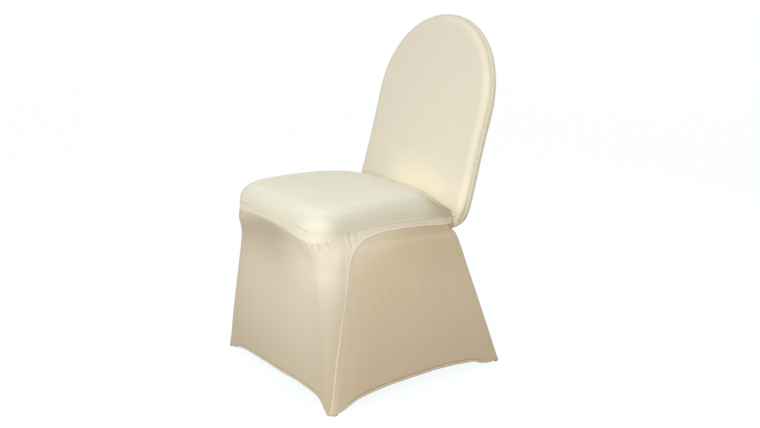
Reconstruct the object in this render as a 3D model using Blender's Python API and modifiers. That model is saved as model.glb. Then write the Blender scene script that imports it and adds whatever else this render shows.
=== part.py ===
"""A fitted spandex chair cover with a round back, in the shape in which it is stretched.

Metres, +Z up, the floor at z = 0 and the front of the cover towards -Y. Every piece
that a maker would cut is one thin closed solid: the seat, the inside and the outside
of the back, the front skirt, the two side skirts and the four foot pockets.

The skirt is one surface, skirt(station, level). A station counts round a level
section of it from the middle of the rear (0), over the right rear corner (1 to 2),
the right side and the right front corner (3 to 4) to the middle of the front (5),
and on round the left side in the same way to 10. A level is a height on a cover
whose seat seam is level, so it is stretched to the real seam's rise and fall.
"""
import math

import bmesh
import bpy
import numpy as np


def table(names, *rows):
    """Return rows of numbers as a dictionary of named columns."""
    return dict(zip(names.split(), np.array(rows, float).T))


# Cloth
CLOTH = 0.0012            # thickness
SEAM_GAP = 0.00022        # how far each piece is drawn back from its seam line
WELD = 0.00005            # grids of one piece are joined where they come this close
NECK_SLACK = 0.0032       # and how much more at the hood's sharp lower corners
SEAT_SLACK = 0.0012       # and at the seat's rear corners
SLACK_REACH = 0.028
HEM_WIDTH = 0.0075        # turned hem
HEM_GROOVE = 0.0005       # depth of the stitched groove over the hem
HEM_STITCH = 0.0012       # half width of that groove

# Heights
SEAT_SEAM = 0.434         # level of the seam between seat and skirt
NECK_LEVEL = 0.3945       # where the hood's lower corners are drawn in
FOOT_SEAM = 0.006         # seam between the skirt and the foot pockets

# Foot pockets
POCKET_GAP = 0.0003       # room for the slope of the cloth over a pocket
POCKET_RISE = 0.024       # top of the inner wall
POCKET_LEAN = 0.008       # how far that top leans inwards
POCKET_BULGE = 0.15       # how far the inner wall's corner passes a square one, as a share
POCKET_ROUND = 0.0032     # rounded edge of the sole
POCKET_SLOPE = 0.2        # share of the inner wall over which its top rises at each end
SOLE_RING = 0.6           # place of the sole's inner ring, as a share of the way in
POCKET_OUTER = 12         # points round the outer wall
POCKET_INNER = 7          # and round the inner wall between its ends

# Middle of the cover's footprint, which becomes the origin
MIDDLE = np.array([-0.01080, 0.06535, 0.0])

# Stations of the seams on the skirt
NECK = 1.31               # rear leg seam, just round the rear corner
SEAT_END = 2.0            # rear end of the seat seam
STRIP_END = 0.58          # share of the neck line that the front skirt's strip covers

# The back: a plane tilted backwards, measured from where it crosses the seat seam
BACK_FOOT = np.array([0.0, 0.209, SEAT_SEAM])
BACK_TILT = math.radians(14.1)
BACK_HALF = 0.2205        # half width at the start of the round top
ARCH_START = 0.270        # distance up the back
ARCH_RISE = 0.232
ARCH_POWER = 0.955        # below one, the arch is fuller than an ellipse
FACE_DEPTH = 0.0150       # inside back, in front of the edge seam
FACE_ROUND = 0.020        # width of its rounded border
SPINE_TOP = 0.40          # where the spokes of the back meet below the top

# Level sections of the skirt: corner positions and how much each corner is rounded, and
# how far the left front corner stands out further than the right one
SECTION = table(
    "level  front_y  front_half front_round rear_y  rear_half rear_round left_x left_y",
    (0.000, -0.2170, 0.2525, 0.021, 0.3590, 0.2447, 0.022, 0.0225, 0.0010),
    (0.030, -0.2140, 0.2465, 0.026, 0.3490, 0.2405, 0.023, 0.0245, -0.0020),
    (0.100, -0.2100, 0.2372, 0.031, 0.3253, 0.2319, 0.024, 0.0237, -0.0064),
    (0.200, -0.2065, 0.2255, 0.038, 0.2920, 0.2191, 0.026, 0.0192, -0.0087),
    (0.300, -0.2040, 0.2150, 0.047, 0.2582, 0.2060, 0.029, 0.0154, -0.0103),
    (0.350, -0.2035, 0.2085, 0.050, 0.2418, 0.1992, 0.031, 0.0132, -0.0107),
    (0.380, -0.2050, 0.2055, 0.052, 0.2304, 0.1933, 0.032, 0.0107, -0.0107),
    (0.395, -0.2085, 0.2042, 0.053, 0.2215, 0.1870, 0.033, 0.0093, -0.0105),
    (0.410, -0.2155, 0.2036, 0.054, 0.2240, 0.1860, 0.034, 0.0067, -0.0088),
    (0.422, -0.2232, 0.2039, 0.055, 0.2295, 0.1853, 0.035, 0.0030, -0.0040),
    (0.430, -0.2274, 0.2044, 0.056, 0.2340, 0.1846, 0.035, 0.0006, -0.0008),
    (0.434, -0.2280, 0.2045, 0.056, 0.2350, 0.1845, 0.035, 0.0000, 0.0000))

# Height of the seat seam round half of the seat
SEAM_LINE = table(
    "station height",
    (0.00, 0.428), (2.00, 0.428), (2.20, 0.433), (2.42, 0.439), (2.70, 0.443), (2.88, 0.442),
    (3.05, 0.437), (3.40, 0.431), (3.75, 0.4275), (4.00, 0.428), (4.25, 0.4315), (4.50, 0.434),
    (5.00, 0.4353))

# Hem of the whole skirt, right round: it sags lower at the left front foot
HEM_LINE = table(
    "station level",
    (0.00, 0.030), (0.70, 0.028), (0.88, 0.023), (0.95, 0.013), (1.00, 0.006), (1.50, 0.006),
    (2.00, 0.006), (2.045, 0.0065), (2.10, 0.0130), (2.14, 0.0222), (2.22, 0.0278),
    (2.30, 0.0318), (2.43, 0.0346), (2.56, 0.0342), (2.69, 0.0334), (2.81, 0.0290),
    (2.875, 0.0250), (2.922, 0.0180), (2.96, 0.0104), (3.00, 0.006), (3.50, 0.006),
    (4.00, 0.0062), (4.048, 0.0175), (4.088, 0.0262), (4.125, 0.0306), (4.17, 0.0332),
    (4.345, 0.0356), (4.55, 0.0362), (4.76, 0.0328), (5.00, 0.0300), (5.25, 0.0286),
    (5.50, 0.0266), (5.68, 0.0238), (5.835, 0.0164), (5.90, 0.0096), (5.95, 0.0070),
    (6.00, 0.006), (6.50, 0.006), (7.00, 0.006), (7.04, 0.0104), (7.078, 0.0180),
    (7.125, 0.0250), (7.19, 0.0290), (7.31, 0.0334), (7.44, 0.0342), (7.57, 0.0346),
    (7.70, 0.0318), (7.78, 0.0278), (7.86, 0.0222), (7.90, 0.0130), (7.955, 0.0065),
    (8.00, 0.006), (8.50, 0.006), (9.00, 0.006), (9.05, 0.013), (9.12, 0.023), (9.30, 0.028),
    (10.0, 0.030))

# Seam between front and side skirt: up the front leg, round, and back under the seat
LEG_SEAM = table(
    "y       level",
    (-0.2085, 0.006), (-0.2000, 0.040), (-0.1915, 0.089), (-0.1825, 0.138), (-0.1715, 0.185),
    (-0.1610, 0.233), (-0.1500, 0.280), (-0.1400, 0.328), (-0.1330, 0.357), (-0.1250, 0.377),
    (-0.1120, 0.3925), (-0.0930, 0.4045), (-0.0680, 0.4120), (-0.0380, 0.4155), (0.0000, 0.4170),
    (0.0600, 0.4170), (0.1200, 0.4160), (0.1700, 0.4140))
CORNER_LEVEL = 0.3925     # the seam turns from the leg to the seat here

# Small steps from which the skirt's outward direction is worked out
STATION_STEP = 0.002
LEVEL_STEP = 0.0005

# Gathers under the front corners of the seat: place, depth, half width and length
GATHERS = table(
    "station depth  wide   fall",
    (2.857, 0.0020, 0.024, 0.024), (2.912, 0.0023, 0.022, 0.030), (2.968, 0.0015, 0.022, 0.020),
    (3.140, 0.0014, 0.075, 0.016), (3.360, 0.0019, 0.070, 0.020), (3.580, 0.0021, 0.075, 0.023),
    (3.790, 0.0015, 0.070, 0.016), (4.000, 0.0017, 0.060, 0.018))
GATHER_START = 0.012      # they deepen over this much below the seam

# Crease between seat and inside back, from the middle outwards
CREASE = table(
    "half   height  behind",
    (0.0000, 0.4680, -0.0180), (0.0550, 0.4675, -0.0180), (0.1000, 0.4620, -0.0180),
    (0.1320, 0.4545, -0.0172), (0.1550, 0.4480, -0.0152), (0.1700, 0.4440, -0.0125),
    (0.1790, 0.4410, -0.0100), (0.1840, 0.4370, -0.0083), (0.1855, 0.4280, -0.0073))

# Cushion edge of the seat: distance in from the seam and height over it
SEAT_EDGE = table(
    "inset   rise",
    (0.0000, 0.0000), (-0.0003, 0.0050), (-0.0002, 0.0240), (0.0033, 0.0375), (0.0105, 0.0478),
    (0.0240, 0.0550), (0.0480, 0.0592))
SEAT_BASE = 0.437         # mean height of the seat seam
SEAT_LEVELLING = 0.060    # the seam's rise and fall fades out over this much
SEAT_CROWN = 0.0042       # crown of the seat over its edge
CROWN_HALF = 0.160        # its half width, and the middle and half length of it
CROWN_PLACE = -0.010
CROWN_LENGTH = 0.180
SEAT_HUB = -0.115         # front end of the line where the seat's spokes meet
SEAT_TURN = 0.75          # share of the rim over which the spokes turn from across to along
SEAT_INNER = np.array([0.3, 0.63, 1.0])
SEAT_REAR = table(        # share of the rise that is left towards the back
    "y      share",
    (-0.30, 1.00), (0.030, 1.00), (0.084, 0.960), (0.136, 0.840), (0.174, 0.680), (0.205, 0.560))

# Half outline of the hood from its drawn-in lower corner up to the round top
HOOD_SIDE = table(
    "up     half   behind",
    (-0.0395, 0.1800, 0.0165), (-0.0320, 0.1910, 0.0125), (-0.0190, 0.2020, 0.0085),
    (-0.0030, 0.2120, 0.0050), (0.0180, 0.2195, 0.0020), (0.0450, 0.2225, 0.0000),
    (0.0800, 0.2225, 0.0000), (0.1300, 0.2210, 0.0000), (0.2000, 0.2200, 0.0000),
    (0.2700, 0.2205, 0.0000))
ARCH_STEPS = 10

# Rounded edge of the outside back, from the edge seam: outwards and backwards
HOOD_EDGE = table(
    "out     behind",
    (0.0000, 0.0000), (0.0042, 0.0060), (0.0030, 0.0140), (-0.0045, 0.0205), (-0.0160, 0.0235))

# Middle of the outside back, above the neck, and how it fades into the neck
HOOD_MIDDLE = 0.0235      # behind the plane of the edge seam
NECK_REACH = 0.110        # length of the outline over which the hood leaves the skirt
NECK_EDGE_REACH = 0.045   # the same for its rounded edge
CREASE_REACH = 0.130      # the same for the inside back over the crease
SEAT_REACH = 0.120        # the same for the seat in front of the crease

# Shares of the rows of points across each sheet
REAR_INNER = np.array([0.06, 0.13, 0.25, 0.45, 0.72, 1.0])
FACE_INNER = np.linspace(0, 1, 10)[1:] ** 1.2
FACE_EDGE_STEPS = 6
CREASE_SHARES = np.array([0, 0.007, 0.030, 0.075, 0.14, 0.24, 0.38, 0.56, 0.78, 1.0])

# How far the rear skirt stands out in its middle
REAR_BOW = table(
    "level  bow",
    (0.000, 0.000), (0.100, 0.000), (0.250, 0.006), (0.340, 0.012), (0.3945, 0.018), (0.434, 0.014))

# Colours of the stretched cloth, linear
IVORY = (0.78, 0.74, 0.62)
CREAM = (0.72, 0.66, 0.53)
SAND = (0.60, 0.53, 0.42)
ROUGHNESS = 0.85


def smooth(at, xs, ys):
    """Interpolate (xs, ys) by a cubic curve that never overshoots its points."""
    at = np.clip(at, xs[0], xs[-1])
    chord = np.diff(ys) / np.diff(xs)
    left, right = chord[:-1], chord[1:]
    same = left * right > 0
    inner = np.where(same, 2 * left * right / np.where(same, left + right, 1), 0)
    slope = np.concatenate([chord[:1], inner, chord[-1:]])
    cell = np.clip(np.searchsorted(xs, at, side="right") - 1, 0, len(xs) - 2)
    width = xs[cell + 1] - xs[cell]
    t = (at - xs[cell]) / width
    leaving = width * slope[cell] * t * (1 - t) ** 2
    arriving = width * slope[cell + 1] * t * t * (1 - t)
    return ys[cell] + leaving + (ys[cell + 1] - ys[cell]) * t * t * (3 - 2 * t) - arriving


def read(columns, name, at):
    """Read one column of a table at values of its first column."""
    key = next(iter(columns))
    return smooth(np.asarray(at, float), columns[key], columns[name])


def unit(vectors):
    """Scale vectors to a length of one."""
    return vectors / np.linalg.norm(vectors, axis=-1, keepdims=True)


def skirt(station, level):
    """Point of the skirt: straight faces between corners rounded as arcs."""
    station, level = np.broadcast_arrays(np.asarray(station, float), np.asarray(level, float))
    left = station > 5
    half = np.where(left, 10 - station, station)
    size = {name: read(SECTION, name, level)[..., None] for name in list(SECTION)[1:]}
    zero = np.zeros_like(size["rear_y"])
    start = np.concatenate([zero, size["rear_y"]], -1)
    rear = np.concatenate([size["rear_half"], size["rear_y"]], -1)
    front = np.concatenate([size["front_half"], size["front_y"]], -1)
    end = np.concatenate([zero, size["front_y"] + size["left_y"] / 2], -1)
    lean = left[..., None] * np.concatenate([size["left_x"], size["left_y"]], -1)

    def corner(before, at, after, radius):
        """Start of the arc, its points by share, and its end."""
        ahead, away = unit(at - before), unit(after - at)
        turn = np.arccos((ahead * away).sum(-1, keepdims=True))
        inward = np.stack([ahead[..., 1], -ahead[..., 0]], -1)
        first = at - ahead * radius * np.tan(turn / 2)
        centre = first + inward * radius

        def arc(share):
            angle = turn * share
            return centre - radius * (inward * np.cos(angle) - ahead * np.sin(angle))
        return first, arc, arc(np.ones_like(turn))

    rear_in, rear_arc, rear_out = corner(start, rear, front, size["rear_round"])
    front_in, front_arc, front_out = corner(rear, front + lean, end, size["front_round"])
    s = half[..., None]
    flat = np.select(
        [s < 1, s < 2, s < 3, s < 4],
        [start + (rear_in - start) * s, rear_arc(s - 1),
         rear_out + (front_in - rear_out) * (s - 2), front_arc(s - 3)],
        front_out + (end - front_out) * (s - 4))
    flat[..., 1] += read(REAR_BOW, "bow", level) * np.clip(1 - half ** 2, 0, 1)
    height = level * read(SEAM_LINE, "height", half) / SEAT_SEAM
    return np.concatenate([np.where(left[..., None], -1, 1) * flat[..., :1], flat[..., 1:],
                           height[..., None]], -1)


def station_at(y, level):
    """Station on the right side of the skirt where a level reaches the given y."""
    stations = np.linspace(1.0, 5.0, 600)
    return np.interp(-y, -skirt(stations, level)[:, 1], stations)


def back_point(x, up, behind):
    """Point of the back's plane, moved behind it."""
    x, up, behind = np.broadcast_arrays(x, up, behind)
    y = BACK_FOOT[1] + up * math.sin(BACK_TILT) + behind * math.cos(BACK_TILT)
    z = BACK_FOOT[2] + up * math.cos(BACK_TILT) - behind * math.sin(BACK_TILT)
    return np.stack([x, y, z], -1)


def mirrored(points):
    """The same points on the other side of the cover."""
    return points * np.array([-1.0, 1.0, 1.0])


def sewn_sheet(name, patches, colour, sharp=None, slack=0.0):
    """Make one piece of cloth from grids of points that share their edges.

    Each grid is an array of rows of points. The grids are welded where they meet,
    the piece's border is drawn back from the seams, a little more round a sharp
    corner, and the cloth is thickened inwards, so that the points lie on its
    outer face.
    """
    mesh = bpy.data.meshes.new(name)
    shape = bmesh.new()
    for points in patches:
        rows, columns = points.shape[:2]
        grid = bmesh.ops.create_grid(shape, x_segments=columns - 1, y_segments=rows - 1, size=1)
        for vertex, point in zip(grid["verts"], points.reshape(-1, 3)):
            vertex.co = point
    bmesh.ops.remove_doubles(shape, verts=shape.verts, dist=WELD)
    bmesh.ops.dissolve_degenerate(shape, edges=shape.edges, dist=WELD / 2)
    border = [v for v in shape.verts if v.is_boundary]
    pulls = {}
    for vertex in border:
        inner = [e.other_vert(vertex).co for e in vertex.link_edges if not e.is_boundary]
        around = [e.other_vert(vertex).co for e in vertex.link_edges if e.is_boundary]
        if inner:
            into = sum((co - vertex.co for co in inner), start=vertex.co * 0) / len(inner)
        else:
            into = sum((co - vertex.co for co in around), start=vertex.co * 0) / len(around)
        along = (around[0] - around[-1]).normalized()
        if inner:
            into -= along * into.dot(along)
        pull = SEAM_GAP * (1 if inner else math.sqrt(2))
        if sharp is not None:
            away = math.dist((abs(vertex.co.x), vertex.co.y, vertex.co.z), sharp)
            pull += slack * math.exp(-(away / SLACK_REACH) ** 2)
        pulls[vertex] = into.normalized() * pull
    for vertex, pull in pulls.items():
        vertex.co += pull
    shape.to_mesh(mesh)
    shape.free()
    mesh.shade_smooth()
    piece = bpy.data.objects.new(name, mesh)
    piece.location = -MIDDLE
    collection.objects.link(piece)
    thick = piece.modifiers.new("Cloth", "SOLIDIFY")
    thick.thickness = CLOTH
    thick.offset = -1
    material = bpy.data.materials.new(name + "_cloth")
    material.use_nodes = True
    shader = material.node_tree.nodes["Principled BSDF"]
    shader.inputs["Base Color"].default_value = (*colour, 1)
    shader.inputs["Roughness"].default_value = ROUGHNESS
    shader.inputs["Metallic"].default_value = 0
    mesh.materials.append(material)
    return piece


def spokes(rim, hub, shares):
    """Rows of points from each point of a rim to the hub point that faces it."""
    return rim[:, None] + (hub - rim)[:, None] * shares[..., None]


def bent(grid, first, fade):
    """Bend the first row of a grid on to a given line, and fade that out."""
    return grid + fade[..., None] * (first - grid[0])


def fading(distance, reach):
    """Weights that fall smoothly from one to nothing over a reach."""
    t = np.clip(distance / reach, 0, 1)
    return 1 - t * t * (3 - 2 * t)


def path_length(points):
    """Distance along a line of points, from its start."""
    steps = np.linalg.norm(np.diff(points, axis=0), axis=1)
    return np.concatenate([[0], np.cumsum(steps)])


def resampled(points, count):
    """The same line of points, in even steps."""
    length = path_length(points)
    at = np.linspace(0, length[-1], count)
    return np.stack([smooth(at, length, column) for column in points.T], -1)


def patch(left, right, bottom, top, u, v):
    """Fill the area between four lines that meet at their ends (a Coons patch)."""
    u, v = u[None, :, None], v[:, None, None]
    ruled = left[:, None] * (1 - u) + right[:, None] * u + bottom * (1 - v) + top * v
    ends = (bottom[0] * (1 - u) + bottom[-1] * u) * (1 - v) + (top[0] * (1 - u) + top[-1] * u) * v
    return ruled - ends


def outward(station, level):
    """Outward normal of the skirt."""
    across = skirt(station + STATION_STEP, level) - skirt(station - STATION_STEP, level)
    upward = skirt(station, level + LEVEL_STEP) - skirt(station, level - LEVEL_STEP)
    return unit(np.cross(upward, across))


def dressed_skirt(places):
    """The skirt with the gathers under its seat seam and the groove over its hem."""
    station, level = places[..., 0], places[..., 1]
    half = np.where(station > 5, 10 - station, station)
    below = SEAT_SEAM - level
    depth = HEM_GROOVE * np.exp(
        -((level - read(HEM_LINE, "level", station) - HEM_WIDTH) / HEM_STITCH) ** 2)
    started = np.clip(below / GATHER_START, 0, 1)
    for place, deep, wide, fall in zip(*GATHERS.values()):
        depth += started * deep * np.exp(-((half - place) / wide) ** 2 - (below / fall) ** 2)
    return skirt(station, level) - outward(station, level) * depth[..., None]


def left_stations(places):
    """The same places on the left side of the skirt."""
    return np.stack([10 - places[..., 0], places[..., 1]], -1)


def both_sides(half):
    """Extend stations and levels, or points, from the middle line to the left side."""
    other = left_stations(half) if half.shape[-1] == 2 else mirrored(half)
    return np.concatenate([half, other[-2::-1]])


# Lines that neighbouring pieces share, as stations and levels on the skirt
BAND_SHARES = np.array([0.0, 0.10, 0.33, 0.64, 1.0])
STRIP_COLUMNS = 15
CORNER_TO = 4.15
CORNER_COLUMNS = 21
FRONT_COLUMNS = 5
HEM_ROWS = np.array([0, HEM_WIDTH - 1.5 * HEM_STITCH, HEM_WIDTH, HEM_WIDTH + 1.5 * HEM_STITCH])
FOOT_COLUMNS = np.array([2.93, 2.81, 2.62, 2.42, 2.23, 2.09, 2.0, 1.78, 1.55, NECK])
CORNER_CROWDING = 0.10    # how much closer the side sheet's columns lie at its corners

leg_seam = np.array([(station_at(y, level), level) for y, level in zip(*LEG_SEAM.values())])
turn = int(np.argmax(leg_seam[:, 1] >= CORNER_LEVEL))
leg_low = np.stack([smooth(FOOT_SEAM + HEM_ROWS, leg_seam[:turn, 1], leg_seam[:turn, 0]),
                    FOOT_SEAM + HEM_ROWS], -1)
leg_line = np.concatenate([leg_low, leg_seam[1:turn + 1]])
neck_line = np.array([SEAT_END, SEAT_SEAM]) + (STRIP_END * BAND_SHARES)[:, None] * np.array(
    [NECK - SEAT_END, NECK_LEVEL - SEAT_SEAM])
strip_line = resampled(np.concatenate([leg_seam[turn:], neck_line[-1:]]), STRIP_COLUMNS)
rear_seam = np.array([(NECK, level) for level in np.concatenate(
    [FOOT_SEAM + HEM_ROWS, np.linspace(FOOT_SEAM + HEM_ROWS[-1], NECK_LEVEL,
                                       len(leg_line) - len(HEM_ROWS))[1:]])])

corner_stations = np.linspace(leg_seam[turn, 0], CORNER_TO, CORNER_COLUMNS)
front_stations = np.concatenate([corner_stations, np.linspace(CORNER_TO, 5, FRONT_COLUMNS)[1:]])
strip_stations = np.linspace(SEAT_END, leg_seam[turn, 0], STRIP_COLUMNS)
seam_half = np.concatenate([strip_stations, front_stations[1:]])
seat_seam = both_sides(np.stack([seam_half, np.full(len(seam_half), SEAT_SEAM)], -1))
band_low = both_sides(np.concatenate(
    [strip_line[::-1], np.stack([front_stations[1:],
                                 np.full(len(front_stations) - 1, leg_seam[turn, 1])], -1)]))


def front_skirt():
    """The band under the seat seam, and the sheet between the two front legs."""
    v = BAND_SHARES[:, None, None]
    band = seat_seam * (1 - v) + band_low * v
    top = band_low[STRIP_COLUMNS - 1:-STRIP_COLUMNS + 1]
    share = (top[:, 0] - top[0, 0]) / (top[-1, 0] - top[0, 0])
    right = left_stations(leg_line)
    hem = leg_line[0, 0] + (right[0, 0] - leg_line[0, 0]) * share
    hem = np.stack([hem, read(HEM_LINE, "level", hem)], -1)
    rise = (leg_line[:, 1] - leg_line[0, 1]) / (leg_line[-1, 1] - leg_line[0, 1])
    sheet = patch(leg_line, right, hem, top, share, rise)
    return [dressed_skirt(band), dressed_skirt(sheet[::-1])]


def side_skirt():
    """Places of a side sheet, from the front leg seam to the rear leg seam."""
    hem = np.concatenate([np.linspace(leg_line[0, 0], 3, 5), FOOT_COLUMNS])
    hem = np.stack([hem, read(HEM_LINE, "level", hem)], -1)
    rear = np.concatenate([rear_seam, neck_line[-1:]])
    share = np.linspace(0, 1, len(hem))
    share = share - CORNER_CROWDING * np.sin(2 * math.pi * share)
    rise = (leg_line[:, 1] - leg_line[0, 1]) / (leg_line[-1, 1] - leg_line[0, 1])
    return patch(leg_line, rear, hem, strip_line, share, rise)


def seat_crease():
    """The crease from the seat seam's rear end to the middle, in the back's own plane."""
    half = CREASE["half"][-1] * (1 - CREASE_SHARES)
    behind = read(CREASE, "behind", half)
    height = read(CREASE, "height", half)
    up = (height - BACK_FOOT[2] + behind * math.sin(BACK_TILT)) / math.cos(BACK_TILT)
    return np.stack([half, up, behind], -1)


def seat():
    """The crowned seat: spokes from the seat seam to the seat's middle line."""
    rim = dressed_skirt(seat_seam)
    crease = back_point(*seat_crease().T)
    crease[0] = rim[0]
    share = (np.minimum(seat_seam[:, 0], 10 - seat_seam[:, 0]) - SEAT_END) / (5 - SEAT_END)
    hub_y = SEAT_HUB + (crease[-1, 1] - SEAT_HUB) * fading(share, SEAT_TURN)
    hub = np.stack([0 * hub_y, hub_y, 0 * hub_y + SEAT_BASE], -1)
    length = np.linalg.norm((hub - rim)[:, :2], axis=1)[:, None]
    edge = SEAT_EDGE["inset"][None] + 0 * length
    inset = np.concatenate([edge, edge[:, -1:] + (length - edge[:, -1:]) * SEAT_INNER], axis=1)
    grid = spokes(rim, hub, inset / length)
    grid[..., 2] = SEAT_BASE + (rim[:, 2:] - SEAT_BASE) * fading(inset, SEAT_LEVELLING)
    across = 1 - (grid[..., 0] / CROWN_HALF) ** 2
    along = 1 - ((grid[..., 1] - CROWN_PLACE) / CROWN_LENGTH) ** 2
    rise = np.append(SEAT_EDGE["rise"], [SEAT_EDGE["rise"][-1]] * len(SEAT_INNER))
    rise = rise + SEAT_CROWN * np.clip(across, 0, 1) * np.clip(along, 0, 1)
    grid[..., 2] += rise * read(SEAT_REAR, "share", grid[..., 1])
    half = len(grid) // 2 + 1
    grid = bent(grid[:half], crease, fading(path_length(rim[:half]), SEAT_REACH)[:, None])
    return [both_sides(grid)]


def hood_outline():
    """Right half of the hood's edge seam, neck to top, in the back's own plane."""
    neck = skirt(NECK, NECK_LEVEL) - BACK_FOOT
    up = neck[1] * math.sin(BACK_TILT) + neck[2] * math.cos(BACK_TILT)
    behind = neck[1] * math.cos(BACK_TILT) - neck[2] * math.sin(BACK_TILT)
    side = np.stack([HOOD_SIDE["half"], HOOD_SIDE["up"], HOOD_SIDE["behind"]], -1)
    angle = np.linspace(0, math.pi / 2, ARCH_STEPS + 1)[1:]
    across = np.clip(np.cos(angle), 0, 1) ** ARCH_POWER
    arch = np.stack([BACK_HALF * across, ARCH_START + ARCH_RISE * np.sin(angle) ** ARCH_POWER,
                     0 * angle], -1)
    arch[-1, 0] = 0
    return np.concatenate([[[neck[0], up, behind]], side, arch])


def hood_front():
    """The inside back: spokes from the edge seam to the middle line."""
    rim = hood_outline()
    crease = seat_crease()
    hub_up = np.interp(rim[:, 1], [rim[0, 1], ARCH_START, rim[-1, 1]],
                       [crease[-1, 1], ARCH_START, SPINE_TOP])
    hub = np.stack([0 * hub_up, hub_up, 0 * hub_up], -1)
    length = np.linalg.norm((hub - rim)[:, :2], axis=1)[:, None]
    angle = np.linspace(0, math.pi / 2, FACE_EDGE_STEPS)
    edge = FACE_ROUND * (1 - np.cos(angle))[None] + 0 * length
    inset = np.concatenate([edge, edge[:, -1:] + (length - edge[:, -1:]) * FACE_INNER], axis=1)
    grid = spokes(rim, hub, inset / length)
    depth = np.sqrt(1 - np.clip(1 - inset / FACE_ROUND, 0, 1) ** 2)
    grid[..., 2] -= FACE_DEPTH * depth
    points = back_point(*np.moveaxis(grid, -1, 0))
    lower = dressed_skirt(np.concatenate([neck_line, rear_seam[-1:]])[::-1])
    lower = np.concatenate([lower, back_point(*crease[1:].T)])
    points = bent(points, lower, fading(path_length(points[:, 0]), CREASE_REACH)[:, None])
    return [both_sides(points)[::-1]]


def hood_rear():
    """The outside back, and the rear skirt below the neck in the same length."""
    edge_stations = np.linspace(NECK, 1, len(HOOD_EDGE["out"]))
    stations = np.concatenate([edge_stations, 1 - REAR_INNER])
    hem = np.stack([stations, read(HEM_LINE, "level", stations)], -1)
    middle = np.stack([0 * rear_seam[:, 0], hem[-1, 1] + (rear_seam[:, 1] - FOOT_SEAM) * (
        NECK_LEVEL - hem[-1, 1]) / (NECK_LEVEL - FOOT_SEAM)], -1)
    top = np.stack([stations, 0 * stations + NECK_LEVEL], -1)
    share = (stations[0] - stations) / stations[0]
    rise = (rear_seam[:, 1] - FOOT_SEAM) / (NECK_LEVEL - FOOT_SEAM)
    skirt_rows = dressed_skirt(patch(rear_seam, middle, hem, top, share, rise))

    rim = hood_outline()
    tangent = unit(np.gradient(rim[:, :2], axis=0))
    tangent[-1] = (-1, 0)
    out = np.stack([tangent[:, 1], -tangent[:, 0], 0 * tangent[:, 0]], -1)
    edge = rim[:, None] + out[:, None] * HOOD_EDGE["out"][:, None]
    edge[..., 2] += HOOD_EDGE["behind"]
    hub_up = np.interp(rim[:, 1], [rim[0, 1], ARCH_START, rim[-1, 1]],
                       [rim[0, 1], ARCH_START, SPINE_TOP])
    hub = np.stack([0 * hub_up, hub_up, 0 * hub_up + HOOD_MIDDLE], -1)
    face = spokes(edge[:, -1], hub, np.tile(REAR_INNER, (len(rim), 1)))
    grid = back_point(*np.moveaxis(np.concatenate([edge, face], axis=1), -1, 0))
    reach = np.interp(np.arange(grid.shape[1]), [1, len(edge_stations) + 2],
                      [NECK_EDGE_REACH, NECK_REACH])
    grid = bent(grid, skirt_rows[-1], fading(path_length(grid[:, 0])[:, None], reach))
    return [both_sides(np.concatenate([skirt_rows, grid[1:]]))]


def foot_pocket(near, far):
    """A cup round one foot of the skirt, from one station of its hem to another.

    The outer wall follows the skirt. The inner wall is a curve through the foot's
    inner corner, and rises from the skirt's hem to the pocket's top.
    """
    outer = np.linspace(near, far, POCKET_OUTER)
    wall = skirt(outer, FOOT_SEAM - POCKET_GAP + 0 * outer)
    ground = skirt(outer, 0 * outer)
    middle = ground[POCKET_OUTER // 2]
    corner = np.array([ground[-1, 0], ground[0, 1], 0])
    if ground[0, 1] > 0:
        corner = np.array([ground[0, 0], ground[-1, 1], 0])
    lean = POCKET_LEAN * unit(corner - middle)
    corner += POCKET_BULGE * (corner - middle)
    t = np.linspace(0, 1, POCKET_INNER + 2)[1:-1, None]
    inner = ground[-1] * (1 - t) ** 2 + 2 * corner * t * (1 - t) + ground[0] * t ** 2
    edge_height = (wall[-1, 2] * (1 - t) + wall[0, 2] * t)[:, 0]
    lift = 1 - fading((np.minimum(t, 1 - t) - t[0])[:, 0], POCKET_SLOPE)
    top = inner + lift[:, None] * lean
    top[:, 2] = edge_height + (POCKET_RISE - edge_height) * lift
    foot = np.concatenate([ground, inner])
    centre = foot.mean(axis=0)
    inward = POCKET_ROUND * unit(centre - foot)
    upward = np.array([0, 0, POCKET_ROUND])
    away = 1 - math.sqrt(0.5)
    loops = np.stack([
        np.concatenate([wall, top]), foot + upward, foot + away * (inward + upward),
        foot + inward, foot + (centre - foot) * SOLE_RING, 0 * foot + centre])
    return np.concatenate([loops, loops[:, :1]], axis=1)


def build():
    """Make every piece of the cover."""
    sewn_sheet("seat_panel", seat(), IVORY, skirt(SEAT_END, SEAT_SEAM), SEAT_SLACK)
    sewn_sheet("back_front_panel", hood_front(), IVORY, skirt(NECK, NECK_LEVEL), NECK_SLACK)
    sewn_sheet("back_rear_panel", hood_rear(), CREAM, skirt(NECK, NECK_LEVEL), NECK_SLACK)
    sewn_sheet("front_skirt_panel", front_skirt(), CREAM)
    right = side_skirt()
    sewn_sheet("side_skirt_right", [dressed_skirt(right)], SAND)
    sewn_sheet("side_skirt_left", [dressed_skirt(left_stations(right))[:, ::-1]], SAND)
    for place, near, far in (("front", 3.0, 4.0), ("rear", 1.0, 2.0)):
        sewn_sheet(f"foot_pocket_{place}_right", [foot_pocket(near, far)], SAND)
        sewn_sheet(f"foot_pocket_{place}_left", [foot_pocket(10 - near, 10 - far)[:, ::-1]], SAND)


for thing in list(bpy.data.objects):
    bpy.data.objects.remove(thing)
collection = bpy.data.collections.new("spandex_chair_cover")
bpy.context.scene.collection.children.link(collection)
build()
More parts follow.
